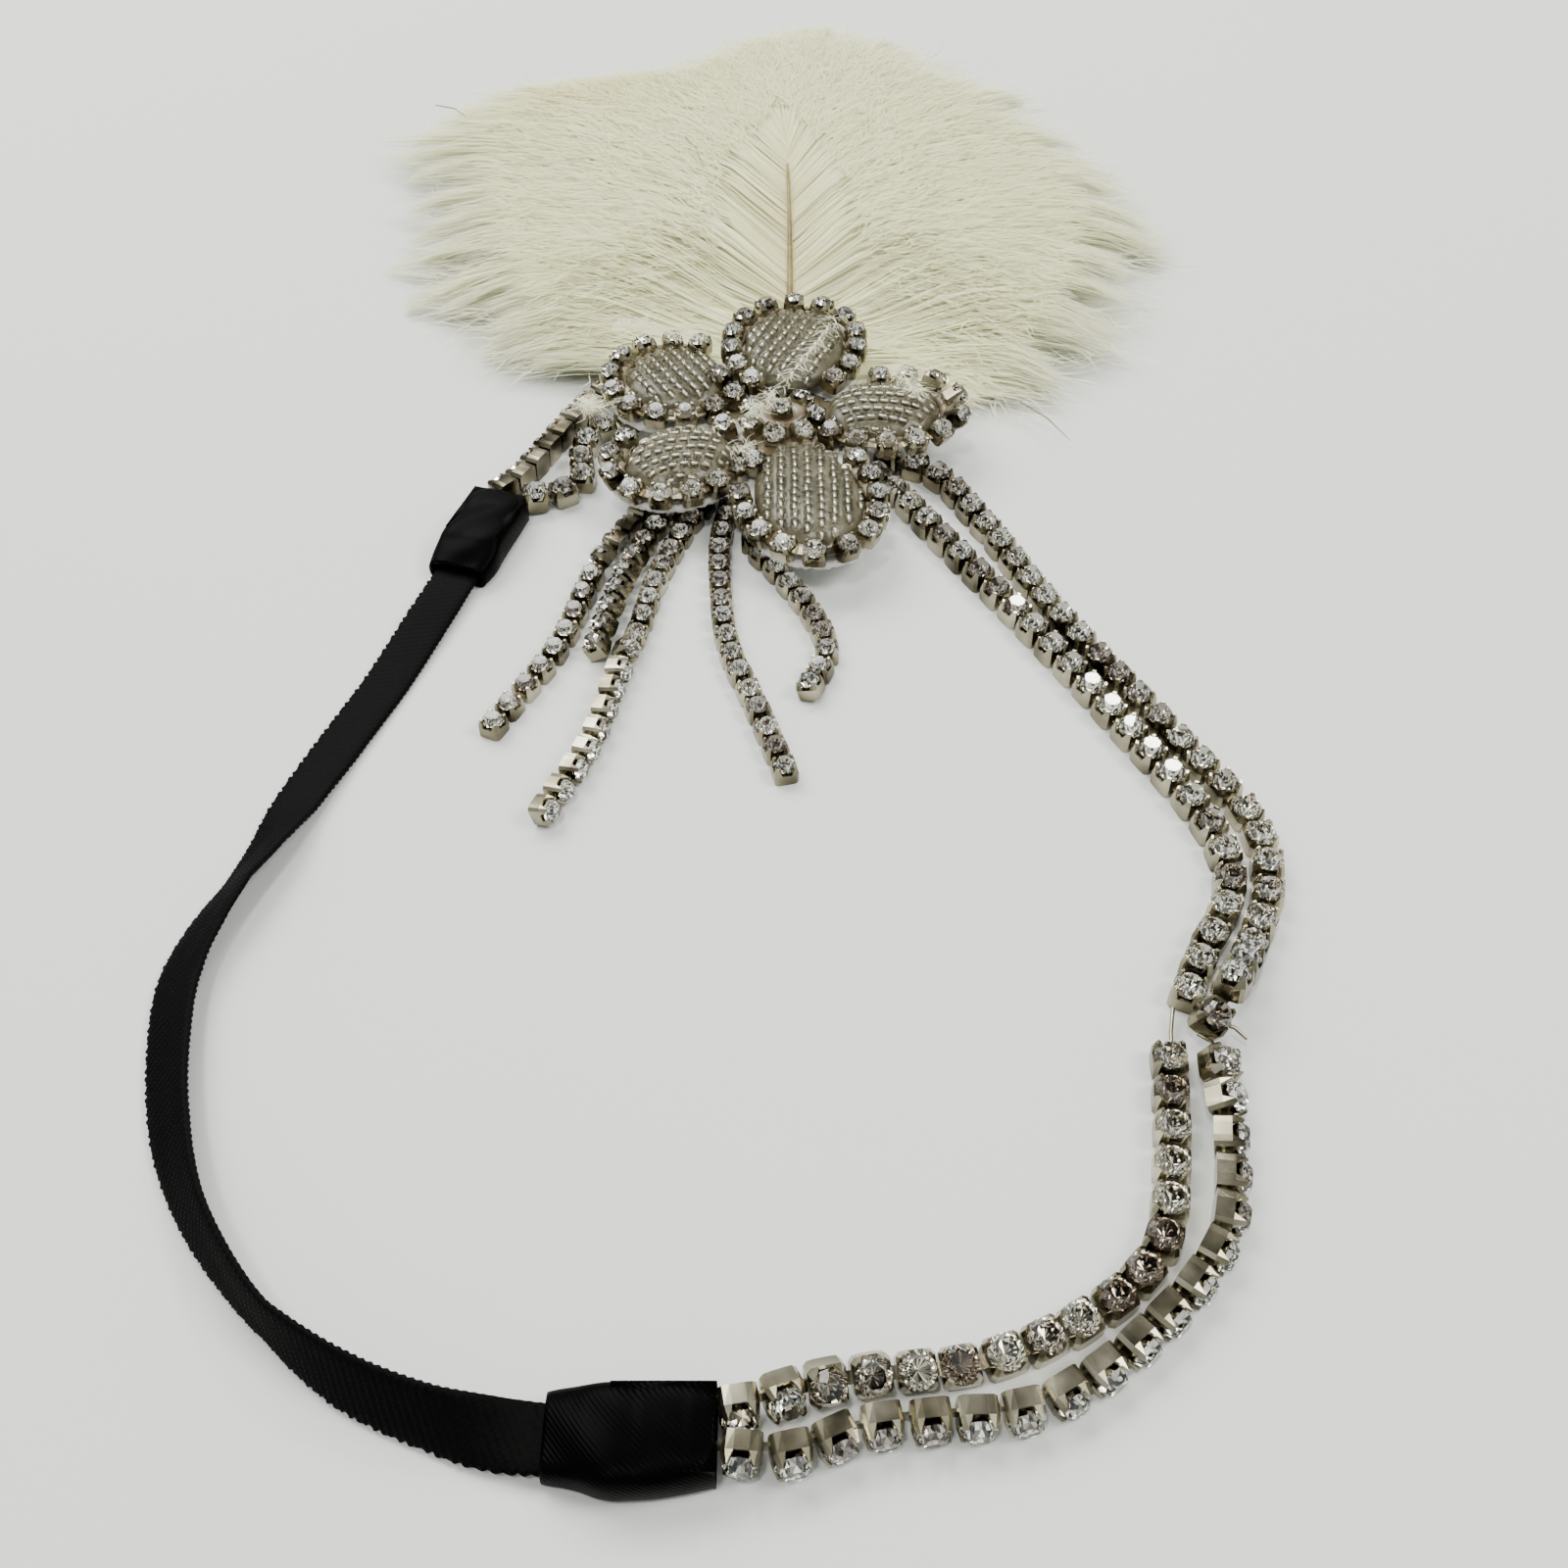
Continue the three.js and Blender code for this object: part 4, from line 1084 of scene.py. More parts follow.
def rim_frames(petal):
    degrees = np.linspace(petal["from"], petal["to"], RIM_SAMPLES + 1)
    path = np.array([petal_edge(petal, d)[0] for d in degrees])
    runs = np.concatenate([[0], np.cumsum(np.linalg.norm(np.diff(path, axis=0), axis=1))])
    steps = round(runs[-1] / CHAIN["rim"]["pitch"])
    frames = []
    for i in range(steps + 1):
        turn = np.interp(i / steps * runs[-1], runs, degrees)
        place, outward_there = petal_edge(petal, turn)
        tip = max(0.0, math.cos(math.radians(turn)))
        lean = mix(RIM_LEAN, petal["curl"], tip * tip)
        place[2] = petal_floor(petal) + math.sin(math.radians(lean)) * CHAIN["rim"]["cup"] / 2
        frames.append(leaning(place, outward_there, lean))
    return frames


RIM_PLACES = []
for petal_name, petal in PETALS.items():
    frames = rim_frames(petal)
    RIM_PLACES += frames
    add_string("rim_" + petal_name, frames, "rim", "stones_" + petal_name)

# %% [markdown]
# Glue shows under the rim stones as a brownish, clear bead. It is a lumpy bead of
# resin along the rim: a curve swept by Geometry Nodes, thick and thin by an attribute.

# %% The glue
GLUE_RADIUS = 1.25
GLUE = new_material("old_glue", (0.40, 0.30, 0.17), Roughness=0.25, IOR=1.5, Transmission_Weight=0.3)
color_by(GLUE, noise(GLUE, 300, 2), [
    (0.3, (0.10, 0.065, 0.03)),
    (0.55, (0.24, 0.19, 0.11)),
    (0.75, (0.45, 0.42, 0.31)),
])


def sweep_tree(name, sides):
    """Sweeps every edge chain of a mesh into a tube, or a flat ribbon when sides is 2."""
    tree = new_tree(name, [("Material", "Material")])
    given = tree.nodes.new("NodeGroupInput").outputs
    curve = tree_node(tree, "GeometryNodeMeshToCurve", [("Mesh", given["Geometry"])])
    if sides == 2:
        level = tree_node(tree, "GeometryNodeSetCurveNormal", [("Curve", curve.outputs[0])])
        level.inputs[0].node.mode = "Z_UP"
        curve = tree_node(tree, "GeometryNodeSetCurveTilt", [
            ("Curve", level.outputs[0]), ("Tilt", named(tree, "tilt", "FLOAT"))])
        profile = tree_node(tree, "GeometryNodeCurvePrimitiveLine", [
            ("Start", (-1, 0, 0)), ("End", (1, 0, 0))])
    else:
        profile = tree_node(tree, "GeometryNodeCurvePrimitiveCircle", [
            ("Resolution", sides), ("Radius", 1.0)])
    tube = tree_node(tree, "GeometryNodeCurveToMesh", [
        ("Curve", curve.outputs[0]), ("Profile Curve", profile.outputs[0]),
        ("Scale", named(tree, "radius", "FLOAT")), ("Fill Caps", sides > 2),
    ])
    soft = tree_node(tree, "GeometryNodeSetShadeSmooth", [("Geometry", tube.outputs[0])])
    paint = tree_node(tree, "GeometryNodeSetMaterial", [
        ("Geometry", soft.outputs[0]), ("Material", given["Material"])])
    tree_node(tree, "NodeGroupOutput", [("Geometry", paint.outputs[0])])
    return tree


TUBE_TREE = sweep_tree("Tube along edges", 8)
WIRE_TREE = sweep_tree("Wire along edges", 5)
RIBBON_TREE = sweep_tree("Ribbon along edges", 2)


def sweep(name, lines, radii, tree, material, tilts=None, tints=None):
    """Sweeps lines of bench points; radii, tilts and tints hold one value for each point."""
    lines = [np.asarray(line) for line in lines]
    points = np.concatenate(lines)
    ends = np.cumsum([len(line) for line in lines])
    starts = ends - [len(line) for line in lines]
    runs = [np.arange(a, b - 1) for a, b in zip(starts, ends)]
    edges = np.concatenate([np.stack([run, run + 1], axis=1) for run in runs])
    mesh = mesh_of(name + "_lines", to_frame(points), edges=edges.tolist())
    set_attribute(mesh, "radius", "FLOAT", "POINT", np.concatenate(radii) * MM)
    if tilts is not None:
        set_attribute(mesh, "tilt", "FLOAT", "POINT", np.concatenate(tilts))
    if tints is not None:
        set_attribute(mesh, "tint", "FLOAT", "POINT", np.concatenate(tints))
    piece = grow(name, new_object(name + "_lines", mesh), tree, {"Material": material})
    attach(piece, "root")
    return piece


def add_glue():
    lines, radii = [], []
    for petal in PETALS.values():
        degrees = np.arange(petal["from"], petal["to"], 4.0)
        line = np.array([petal_edge(petal, d, 1.0)[0] for d in degrees])
        line[:, 2] = petal_floor(petal) + 0.9
        lines.append(line)
        radii.append(GLUE_RADIUS * RNG.uniform(0.55, 1.0, len(line)))
    heart = np.array([[HEART["x"] + 3.0 * math.cos(a), HEART["y"] + 3.0 * math.sin(a), PETAL_Z + 1.2]
                      for a in np.arange(0, 6.6, 0.35)])
    lines.append(heart)
    radii.append(np.full(len(heart), 2.0))
    piece = sweep("glue_under_stones", lines, radii, TUBE_TREE, GLUE)


# %% [markdown]
# Thin wire tacks the ends of the right chains together where they meet. One end of
# it sticks out.

# %% Tack wires
TACK_WIRES = [
    [(46.6, -111.8, 1.6), (45.9, -115.0, 1.2), (45.4, -118.6, 1.6)],
    [(48.6, -116.2, 2.6), (49.9, -117.6, 3.1), (50.6, -119.4, 2.2)],
    [(51.6, -115.2, 3.2), (53.0, -115.6, 3.0), (54.4, -116.6, 2.2)],
]
WIRE_RADIUS = 0.26


def add_tack_wires():
    radii = [np.full(3, WIRE_RADIUS)] * len(TACK_WIRES)
    piece = sweep("tack_wires", TACK_WIRES, radii, WIRE_TREE, NICKEL)


add_tack_wires()

# %% [markdown]
# The heart of the flower is one stone on a low mound of glue with seven stones
# leaning out round it.

# %% The heart
HEART = {"x": -0.4, "y": 0.4, "rise": 2.4}
HEART_RING = {"stones": 7, "radius": 4.6, "seat": 1.0, "lean": 28}
LOOSE_CLEAR = 3.1
LOOSE_STONES = [
    (-9.4, -2.8, 1.2, 12, 200), (-8.4, 5.0, 1.4, 14, 150), (-10.6, 10.1, 1.6, 10, 140),
    (-7.6, 8.9, 1.6, 10, 120), (-4.3, 9.3, 1.8, 12, 100), (-6.3, -7.8, 1.2, 14, 240),
    (-4.7, -12.0, 1.0, 12, 250), (12.8, -9.5, 1.0, 16, 320), (8.1, -2.4, 1.4, 14, 340),
    (6.6, 11.2, 1.8, 14, 60), (9.0, 7.6, 1.8, 12, 45), (-12.2, 5.4, 1.2, 12, 160),
]
MOUND_SINK = 0.35
MOUND = {"radius": 11.5, "high": 1.9, "low": 0.25, "lump": 0.22, "rings": 9, "spokes": 48}


def add_mound():
    """The pool of old glue that fills the flower's middle between the petals."""
    points = []
    for r in range(MOUND["rings"] + 1):
        share = r / MOUND["rings"]
        for s in range(MOUND["spokes"]):
            turn = bearing_axes(s / MOUND["spokes"] * 360)[0] * MOUND["radius"] * share
            lift = mix(MOUND["low"], MOUND["high"], 1 - ease(share)) if share < 1 else 0.0
            lump = RNG.normal(0, MOUND["lump"]) if 0 < share < 1 else 0.0
            z = PETAL_Z + max(lift + lump, 0) - MOUND_SINK
            points.append((HEART["x"] + turn[0], HEART["y"] + turn[1], z))
    faces = grid_faces(MOUND["rings"] + 1, MOUND["spokes"], closed=True)
    last = MOUND["rings"] * MOUND["spokes"]
    faces.append(tuple(range(last, last + MOUND["spokes"])))
    mesh = mesh_of("glue_mound", to_frame(points), faces)
    outward(mesh)
    smooth(mesh)
    mesh.materials.append(GLUE)
    piece = new_object("glue_mound", mesh)
    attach(piece, "root")
    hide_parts("flower_heart")


def add_heart():
    centre = np.array([HEART["x"], HEART["y"], PETAL_Z])
    frames = [leaning(centre + [0, 0, HEART["rise"] - LINK_THICK / 2], (-1, 0, 0), 0)]
    for i in range(HEART_RING["stones"]):
        outward_there = bearing_axes(i / HEART_RING["stones"] * 360)[0]
        seat = centre + outward_there * HEART_RING["radius"] + [0, 0, HEART_RING["seat"]]
        frames.append(leaning(seat, outward_there, HEART_RING["lean"]))
    taken = [f["middle"] for f in frames + RIM_PLACES]
    for x, y, lift, lean, bearing in LOOSE_STONES:
        outward_there = bearing_axes(bearing)[0]
        spot = leaning((x, y, PETAL_Z + lift), outward_there, lean)
        nearest = min((spot["middle"] - other).length for other in taken)
        if nearest > LOOSE_CLEAR:
            frames.append(spot)
            taken.append(spot["middle"])
        print("loose stone at", (x, y), "nearest", round(nearest, 1))
    piece = string_stones("heart_stones", [swayed(f) for f in frames], [], "rim")
    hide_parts("flower_heart")


add_heart()
add_mound()
add_glue()

# %% [markdown]
# The petals are filled with silver-lined seed beads: short clear tubes with a bright
# core, threaded in rows. Under them the pad is felt stiffened by clear glue. Rows run
# at each petal's own bearing, and some bow; a bead is left out where the rim
# or the pad's edge would cut it.

# %% Pads and seed beads
PAD_RINGS = [(0.0, 0.0), (1.4, 0.62), (5.0, 1.0)]
BEAD_ROW = 2.05
BEAD_STEP = 1.75
BEAD_RADIUS = 0.84
BEAD_LONG = 1.58
CORE_RADIUS = 0.22
CORE_SHARE = 0.66
BEAD_ROWS = {
    "top": {"run": 66, "bow": -0.006, "fan": 0.0},
    "upper_left": {"run": 121, "bow": 0.010, "fan": 0.0},
    "lower_left": {"run": 12, "bow": 0.030, "fan": 0.0},
    "bottom": {"run": 90, "bow": 0.0, "fan": 0.0},
    "right": {"run": -6, "bow": 0.022, "fan": 0.0},
}

# The pad's colour is the brown of glue-soaked felt, darkened well past it as painted shade in the gaps between the
# beads.
PAD_GLUE_AND_GAP_SHADE = new_material("glued_felt_and_gap_shade", (0.40, 0.36, 0.28), Roughness=0.3)
color_by(PAD_GLUE_AND_GAP_SHADE, noise(PAD_GLUE_AND_GAP_SHADE, 380, 3), [
    (0.3, (0.045, 0.04, 0.02)),
    (0.55, (0.11, 0.10, 0.06)),
    (0.8, (0.21, 0.20, 0.14)),
])
bump_by(PAD_GLUE_AND_GAP_SHADE, noise(PAD_GLUE_AND_GAP_SHADE, 1400, 3), 0.15)
BEAD_GLASS = new_material("bead_glass", (0.90, 0.88, 0.78), Roughness=0.03, IOR=1.22,
                          Transmission_Weight=1.0)
BEAD_SILVER = new_material("bead_lining", (1.0, 0.98, 0.92), Roughness=0.3, Metallic=1.0)


def pad_height(petal, place):
    """Height of the pad's surface at a place on the table, or None past its edge."""
    along, left = bearing_axes(petal["bearing"])
    ahead = place @ along - petal["reach"] * PETAL_REACH
    aside = place @ left
    long = petal["long"] * PETAL_LONG / 2 - PAD_INSET
    wide = petal["wide"] * PETAL_WIDE / 2 - PAD_INSET
    narrow = 1 + petal["pinch"] * np.clip(ahead / long, -1, 1)
    radius = math.hypot(ahead / long, aside / (wide * narrow))
    inset = (1 - radius) * (long + wide) / 2
    if inset < 0:
        return None, inset
    dome = np.interp(inset, [r[0] for r in PAD_RINGS], [r[1] for r in PAD_RINGS])
    return petal_floor(petal) + PAD_THICK + ease(dome) * PAD_CROWN, inset


def add_pad(name, petal):
    rings = [(0.0, None)] + [(inset, dome) for inset, dome in
                             ((0.0, 0.0), (0.5, 0.3), (1.4, 0.66), (3.0, 0.88), (5.0, 1.0), (6.5, 1.02))]
    points = []
    for inset, dome in rings:
        height = petal_floor(petal) + (0 if dome is None else PAD_THICK + dome * PAD_CROWN)
        for d in range(0, 360, 6):
            place = petal_edge(petal, d, PAD_INSET + inset)[0]
            place[2] = height - BEAD_RADIUS * (0.55 if dome is not None else 0)
            points.append(place)
    faces = grid_faces(len(rings), 60, closed=True)
    faces += [tuple(reversed(range(60))), tuple(range(len(points) - 60, len(points)))]
    mesh = mesh_of("pad_" + name, to_frame(points), faces)
    outward(mesh)
    smooth(mesh)
    mesh.materials.append(PAD_GLUE_AND_GAP_SHADE)
    piece = new_object("pad_" + name, mesh)
    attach(piece, "root")
    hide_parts("petal_" + name)


def bead_shape():
    """A clear bead with rounded ends and its silver core, lying along x."""
    points, faces, finish = [], [], []
    for radii, finish_number in (([0.62, 0.93, 1.0, 0.93, 0.62], GLASS), ([1.0, 1.0], METAL)):
        size = BEAD_RADIUS if finish_number == GLASS else CORE_RADIUS
        long = BEAD_LONG if finish_number == GLASS else BEAD_LONG * CORE_SHARE
        sides = 10 if finish_number == GLASS else 6
        offset = len(points)
        spots = np.linspace(-0.5, 0.5, len(radii)) * long
        if finish_number == GLASS:
            spots = np.array([-0.5, -0.36, 0.0, 0.36, 0.5]) * long
        for x, share in zip(spots, radii):
            for k in range(sides):
                a = 2 * math.pi * k / sides
                points.append((x, size * share * math.cos(a), size * share * math.sin(a)))
        new = [tuple(offset + i for i in face) for face in grid_faces(len(radii), sides, closed=True)]
        new += [tuple(offset + i for i in reversed(range(sides))),
                tuple(offset + (len(radii) - 1) * sides + i for i in range(sides))]
        faces += new
        finish += [finish_number] * len(new)
    mesh = mesh_of("seed_bead", np.array(points) * MM, faces)
    outward(mesh)
    smooth(mesh)
    set_attribute(mesh, "finish", "INT", "FACE", finish)
    return bpy.data.objects.new("seed_bead", mesh)


SEED_BEAD = bead_shape()


def bead_frames(petal, rows):
    run, side = bearing_axes(rows["run"])
    centre = bearing_axes(petal["bearing"])[0] * petal["reach"] * PETAL_REACH
    frames = []
    for k in np.arange(-8, 9):
        for j in np.arange(-9, 10):
            s = (j + 0.5 * (k % 2) + RNG.normal(0, 0.03)) * BEAD_STEP
            offset = k * BEAD_ROW - rows["bow"] * s * s
            place = centre + run * s + side * (offset + RNG.normal(0, 0.05))
            height, inset = pad_height(petal, place)
            if height is None or inset < 0.35:
                continue
            ahead, _ = pad_height(petal, place + run * 0.3)
            aside, _ = pad_height(petal, place + side * 0.3)
            if ahead is None or aside is None:
                continue
            slope = Vector(run + side * (-2 * rows["bow"] * s)) + UP * ((ahead - height) / 0.3)
            along = slope.normalized()
            across = (Vector(side) + UP * ((aside - height) / 0.3)).normalized()
            out = along.cross(across).normalized()
            middle = Vector((place[0], place[1], height - BEAD_RADIUS * 0.25))
            frames.append({"middle": middle, "along": along, "across": out.cross(along), "out": out})
    return frames


for petal_name, petal in PETALS.items():
    add_pad(petal_name, petal)
    beads = bead_frames(petal, BEAD_ROWS[petal_name])
    cloud = mesh_of("beads_" + petal_name, to_frame([f["middle"] for f in beads]))
    set_attribute(cloud, "turn", "FLOAT_VECTOR", "POINT", [tuple(frame_turn(f)) for f in beads])
    set_attribute(cloud, "kind", "INT", "POINT", [0] * len(beads))
    piece = grow("beads_" + petal_name, new_object("beads", cloud), STRING_TREE, {
        "Stone": SEED_BEAD, "Link": SEED_BEAD, "Metal": BEAD_SILVER,
        "Glass": BEAD_GLASS, "Mirror": BEAD_SILVER,
    })
    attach(piece, "root")
    print(petal_name, "petal:", len(beads), "beads")

# %% [markdown]
# The plume is an ostrich feather. Its barbs leave the quill on both sides and carry
# down that makes them run together into locks. One skin follows the same table of
# locks as the solid, a little smaller; the barbs that the eye sees lie over and
# through it.

# %% The shape of the plume
PLUME_HEIGHT = 14.0
PLUME_REACH = 80.0
PLUME_SWELL = 24.0
FLOWER_CLEAR = 34.0
TIP_THICK = 1.4
LOCK_BOW = 0.1
FIRST_ROOT = 0.12
LEAVE_SHARE = 0.2
PARTING_LIFT = 2.2
PLUME_UNDER = 3.9
QUILL = {"radius": 0.9, "tip": 0.36, "length": 92.0, "start": 3.0, "climb": 46.0, "top": 10.0, "bow": 1.1}
LOCKS = np.array([
    (-0.58, 0.25, 0.00), (-0.74, 0.43, 0.00), (-0.86, 0.66, 0.03), (-0.92, 0.94, 0.10),
    (-0.97, 1.27, 0.22), (-0.80, 1.45, 0.40), (-0.54, 1.49, 0.50), (-0.30, 1.51, 0.55),
    (-0.10, 1.69, 0.62), (0.12, 1.78, 0.62), (0.39, 1.63, 0.55), (0.63, 1.43, 0.40),
    (0.80, 1.14, 0.20), (0.90, 0.86, 0.06), (0.87, 0.57, 0.00), (0.73, 0.32, 0.00), (0.50, 0.10, 0.00),
])
LAST_LOCK = len(LOCKS) - 1


def quill_point(share):
    share = np.asarray(share, dtype=float)
    y = QUILL["start"] + share * QUILL["length"]
    climb = ease((y - FLOWER_CLEAR) / QUILL["climb"])
    x = np.sin(share * math.pi) * QUILL["bow"]
    return np.stack([x, y, mix(PLUME_UNDER - QUILL["radius"], QUILL["top"], climb)], axis=-1)


def plume_top(x, y):
    return mix(PLUME_UNDER, PLUME_HEIGHT, ease((np.hypot(x, y) - FLOWER_CLEAR) / PLUME_SWELL))


def root_share(index):
    return mix(1.0, FIRST_ROOT, np.abs(index / (LAST_LOCK / 2) - 1))


def tip_at(index):
    rows = np.arange(len(LOCKS))
    scale = (PLUME_REACH, PLUME_REACH, PLUME_HEIGHT)
    return np.stack([np.interp(index, rows, LOCKS[:, k]) * scale[k] for k in range(3)], axis=-1)


def plume_section(index, shares, reach_share=1.0):
    """Middle line, underside and upper side of the plume along barbs at the given indices."""
    root = quill_point(root_share(index))[:, None]
    tip = tip_at(index)[:, None]
    reach = np.asarray(shares) * np.asarray(reach_share)
    middle = root + (tip - root) * reach[..., None]
    bow = np.abs(tip[..., 0] - root[..., 0]) * LOCK_BOW
    middle[..., 1] += np.sin(np.clip(reach, 0, 1) * math.pi) * bow
    share = np.clip(reach, 0, 1)
    under = tip[..., 2] * share ** 2
    top = plume_top(middle[..., 0], middle[..., 1])
    full = (top - TIP_THICK) * np.sqrt(1 - share ** 2)
    upper = np.minimum(under + TIP_THICK + full, under + top)
    leave = ease(share / LEAVE_SHARE)
    return middle, mix(root[..., 2] - 1.2, under, leave), mix(root[..., 2] + PARTING_LIFT, upper, leave)


# %% [markdown]
# Ivory barbs let light through, so their shader mixes a soft diffuse with light from
# behind. A number along each barb carries its tint: tan at the quill, yellow where
# the feather has aged, ivory over most of it and grey at the thin tips.

# %% Feather finish
TAN, AGED, IVORY, PALE, THIN = 0.0, 0.3, 0.5, 0.75, 1.0
FEATHER = new_material("ivory_barbs", (0.86, 0.83, 0.73), Roughness=0.7, Specular_IOR_Level=0.12)
color_by(FEATHER, attribute(FEATHER, "tint"), [
    (TAN, (0.36, 0.22, 0.10)), (0.12, (0.74, 0.64, 0.40)), (AGED, (0.86, 0.80, 0.50)),
    (IVORY, (0.92, 0.925, 0.60)), (PALE, (0.95, 0.96, 0.70)), (THIN, (0.86, 0.86, 0.72)),
])
DOWN = new_material("white_down", (0.90, 0.90, 0.70), Roughness=0.8, Specular_IOR_Level=0.1)
QUILL_TAN = new_material("quill", (0.60, 0.38, 0.18), Roughness=0.42, Subsurface_Weight=0.1)
color_by(QUILL_TAN, noise(QUILL_TAN, 260, 3), [
    (0.3, (0.10, 0.065, 0.015)),
    (0.7, (0.29, 0.21, 0.07)),
])


def let_light_through(material, share):
    """Adds light from behind to a thin finish."""
    shader = shader_of(material)
    behind = add_node(material, "ShaderNodeBsdfTranslucent")
    blend = add_node(material, "ShaderNodeMixShader", Fac=share)
    tint = shader.inputs["Base Color"]
    if tint.is_linked:
        join_nodes(material, (tint.links[0].from_socket, behind.inputs["Color"]))
    else:
        behind.inputs["Color"].default_value = tint.default_value
    target = material.node_tree.nodes["Material Output"].inputs["Surface"]
    join_nodes(material, (shader.outputs[0], blend.inputs[1]), (behind.outputs[0], blend.inputs[2]),
               (blend.outputs[0], target))


def soften_relief(material, share):
    """Turns the shading normal of fine hairs towards straight up, as a fluffy mass shades."""
    surface = add_node(material, "ShaderNodeNewGeometry")
    lift = add_node(material, "ShaderNodeMix", data_type="VECTOR")
    lift.inputs["Factor"].default_value = share
    even = add_node(material, "ShaderNodeVectorMath", operation="NORMALIZE")
    normal = [s for s in lift.inputs if s.type == "VECTOR"]
    join_nodes(material, (surface.outputs["Normal"], normal[0]), (
        [s for s in lift.outputs if s.type == "VECTOR"][0], even.inputs[0]),
        (even.outputs[0], shader_of(material).inputs["Normal"]))
    normal[1].default_value = (0, 0, 1)


let_light_through(FEATHER, 0.35)
let_light_through(DOWN, 0.3)
soften_relief(FEATHER, 0.72)

# %% [markdown]
# The skin under the barbs keeps the floor from showing through the plume.

# %% The skin under the barbs
CORE_SHARES = [0.0, 0.18, 0.4, 0.58, 0.68, 0.76]
CORE_STEPS = 8
CORE_DROP = 1.1
CORE_IN = 0.4


def add_core():
    index = np.linspace(CORE_IN, LAST_LOCK - CORE_IN, LAST_LOCK * CORE_STEPS + 1)
    middle, under, upper = plume_section(index, CORE_SHARES)
    drop = CORE_DROP + 1.6 * np.array(CORE_SHARES)
    high = np.maximum(upper - drop, under + 0.5)
    low = under + 0.35
    rings = []
    for z, order in ((high, range(len(CORE_SHARES))), (low, reversed(range(len(CORE_SHARES))))):
        for c in order:
            rings.append(np.dstack([middle[:, c, 0], middle[:, c, 1], z[:, c]])[0])
    points = np.concatenate(rings)
    columns = len(index)
    rows = len(rings)
    faces = grid_faces(rows, columns)
    last = (rows - 1) * columns
    faces += [(last + c, last + c + 1, c + 1, c) for c in range(columns - 1)]
    faces.append(tuple(r * columns for r in range(rows)))
    faces.append(tuple(r * columns + columns - 1 for r in reversed(range(rows))))
    mesh = mesh_of("plume_down", to_frame(points), faces)
    outward(mesh)
    smooth(mesh)
    mesh.materials.append(DOWN)
    piece = new_object("plume_down", mesh)
    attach(piece, "root")
    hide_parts("ostrich_plume")


add_core()

# %% [markdown]
# The barbs: each is a flat ribbon of hair's breadth, swept along seven points.
# Neighbours pull together into strands, some ends stray, and heights spread through
# the plume's thickness with most near the top.

# %% The barbs
BARB_SAMPLES = 7
BARBS = 36000
BARBS_IN_PIECE = 12000
STRANDS = 420
BARB_HALF = 0.12
CROWN_SHARE_OF_BARBS = 0.07
CROWN_SPREAD = 0.9
TUFTS = 104
TUFT_PULL = 0.92
SIDE_REACH = [0.97, 0.95, 0.95, 0.96, 1.0, 0.98, 0.91, 0.93, 0.99, 1.05, 1.01, 1.0, 1.01, 1.0, 0.98,
              0.93, 0.86]


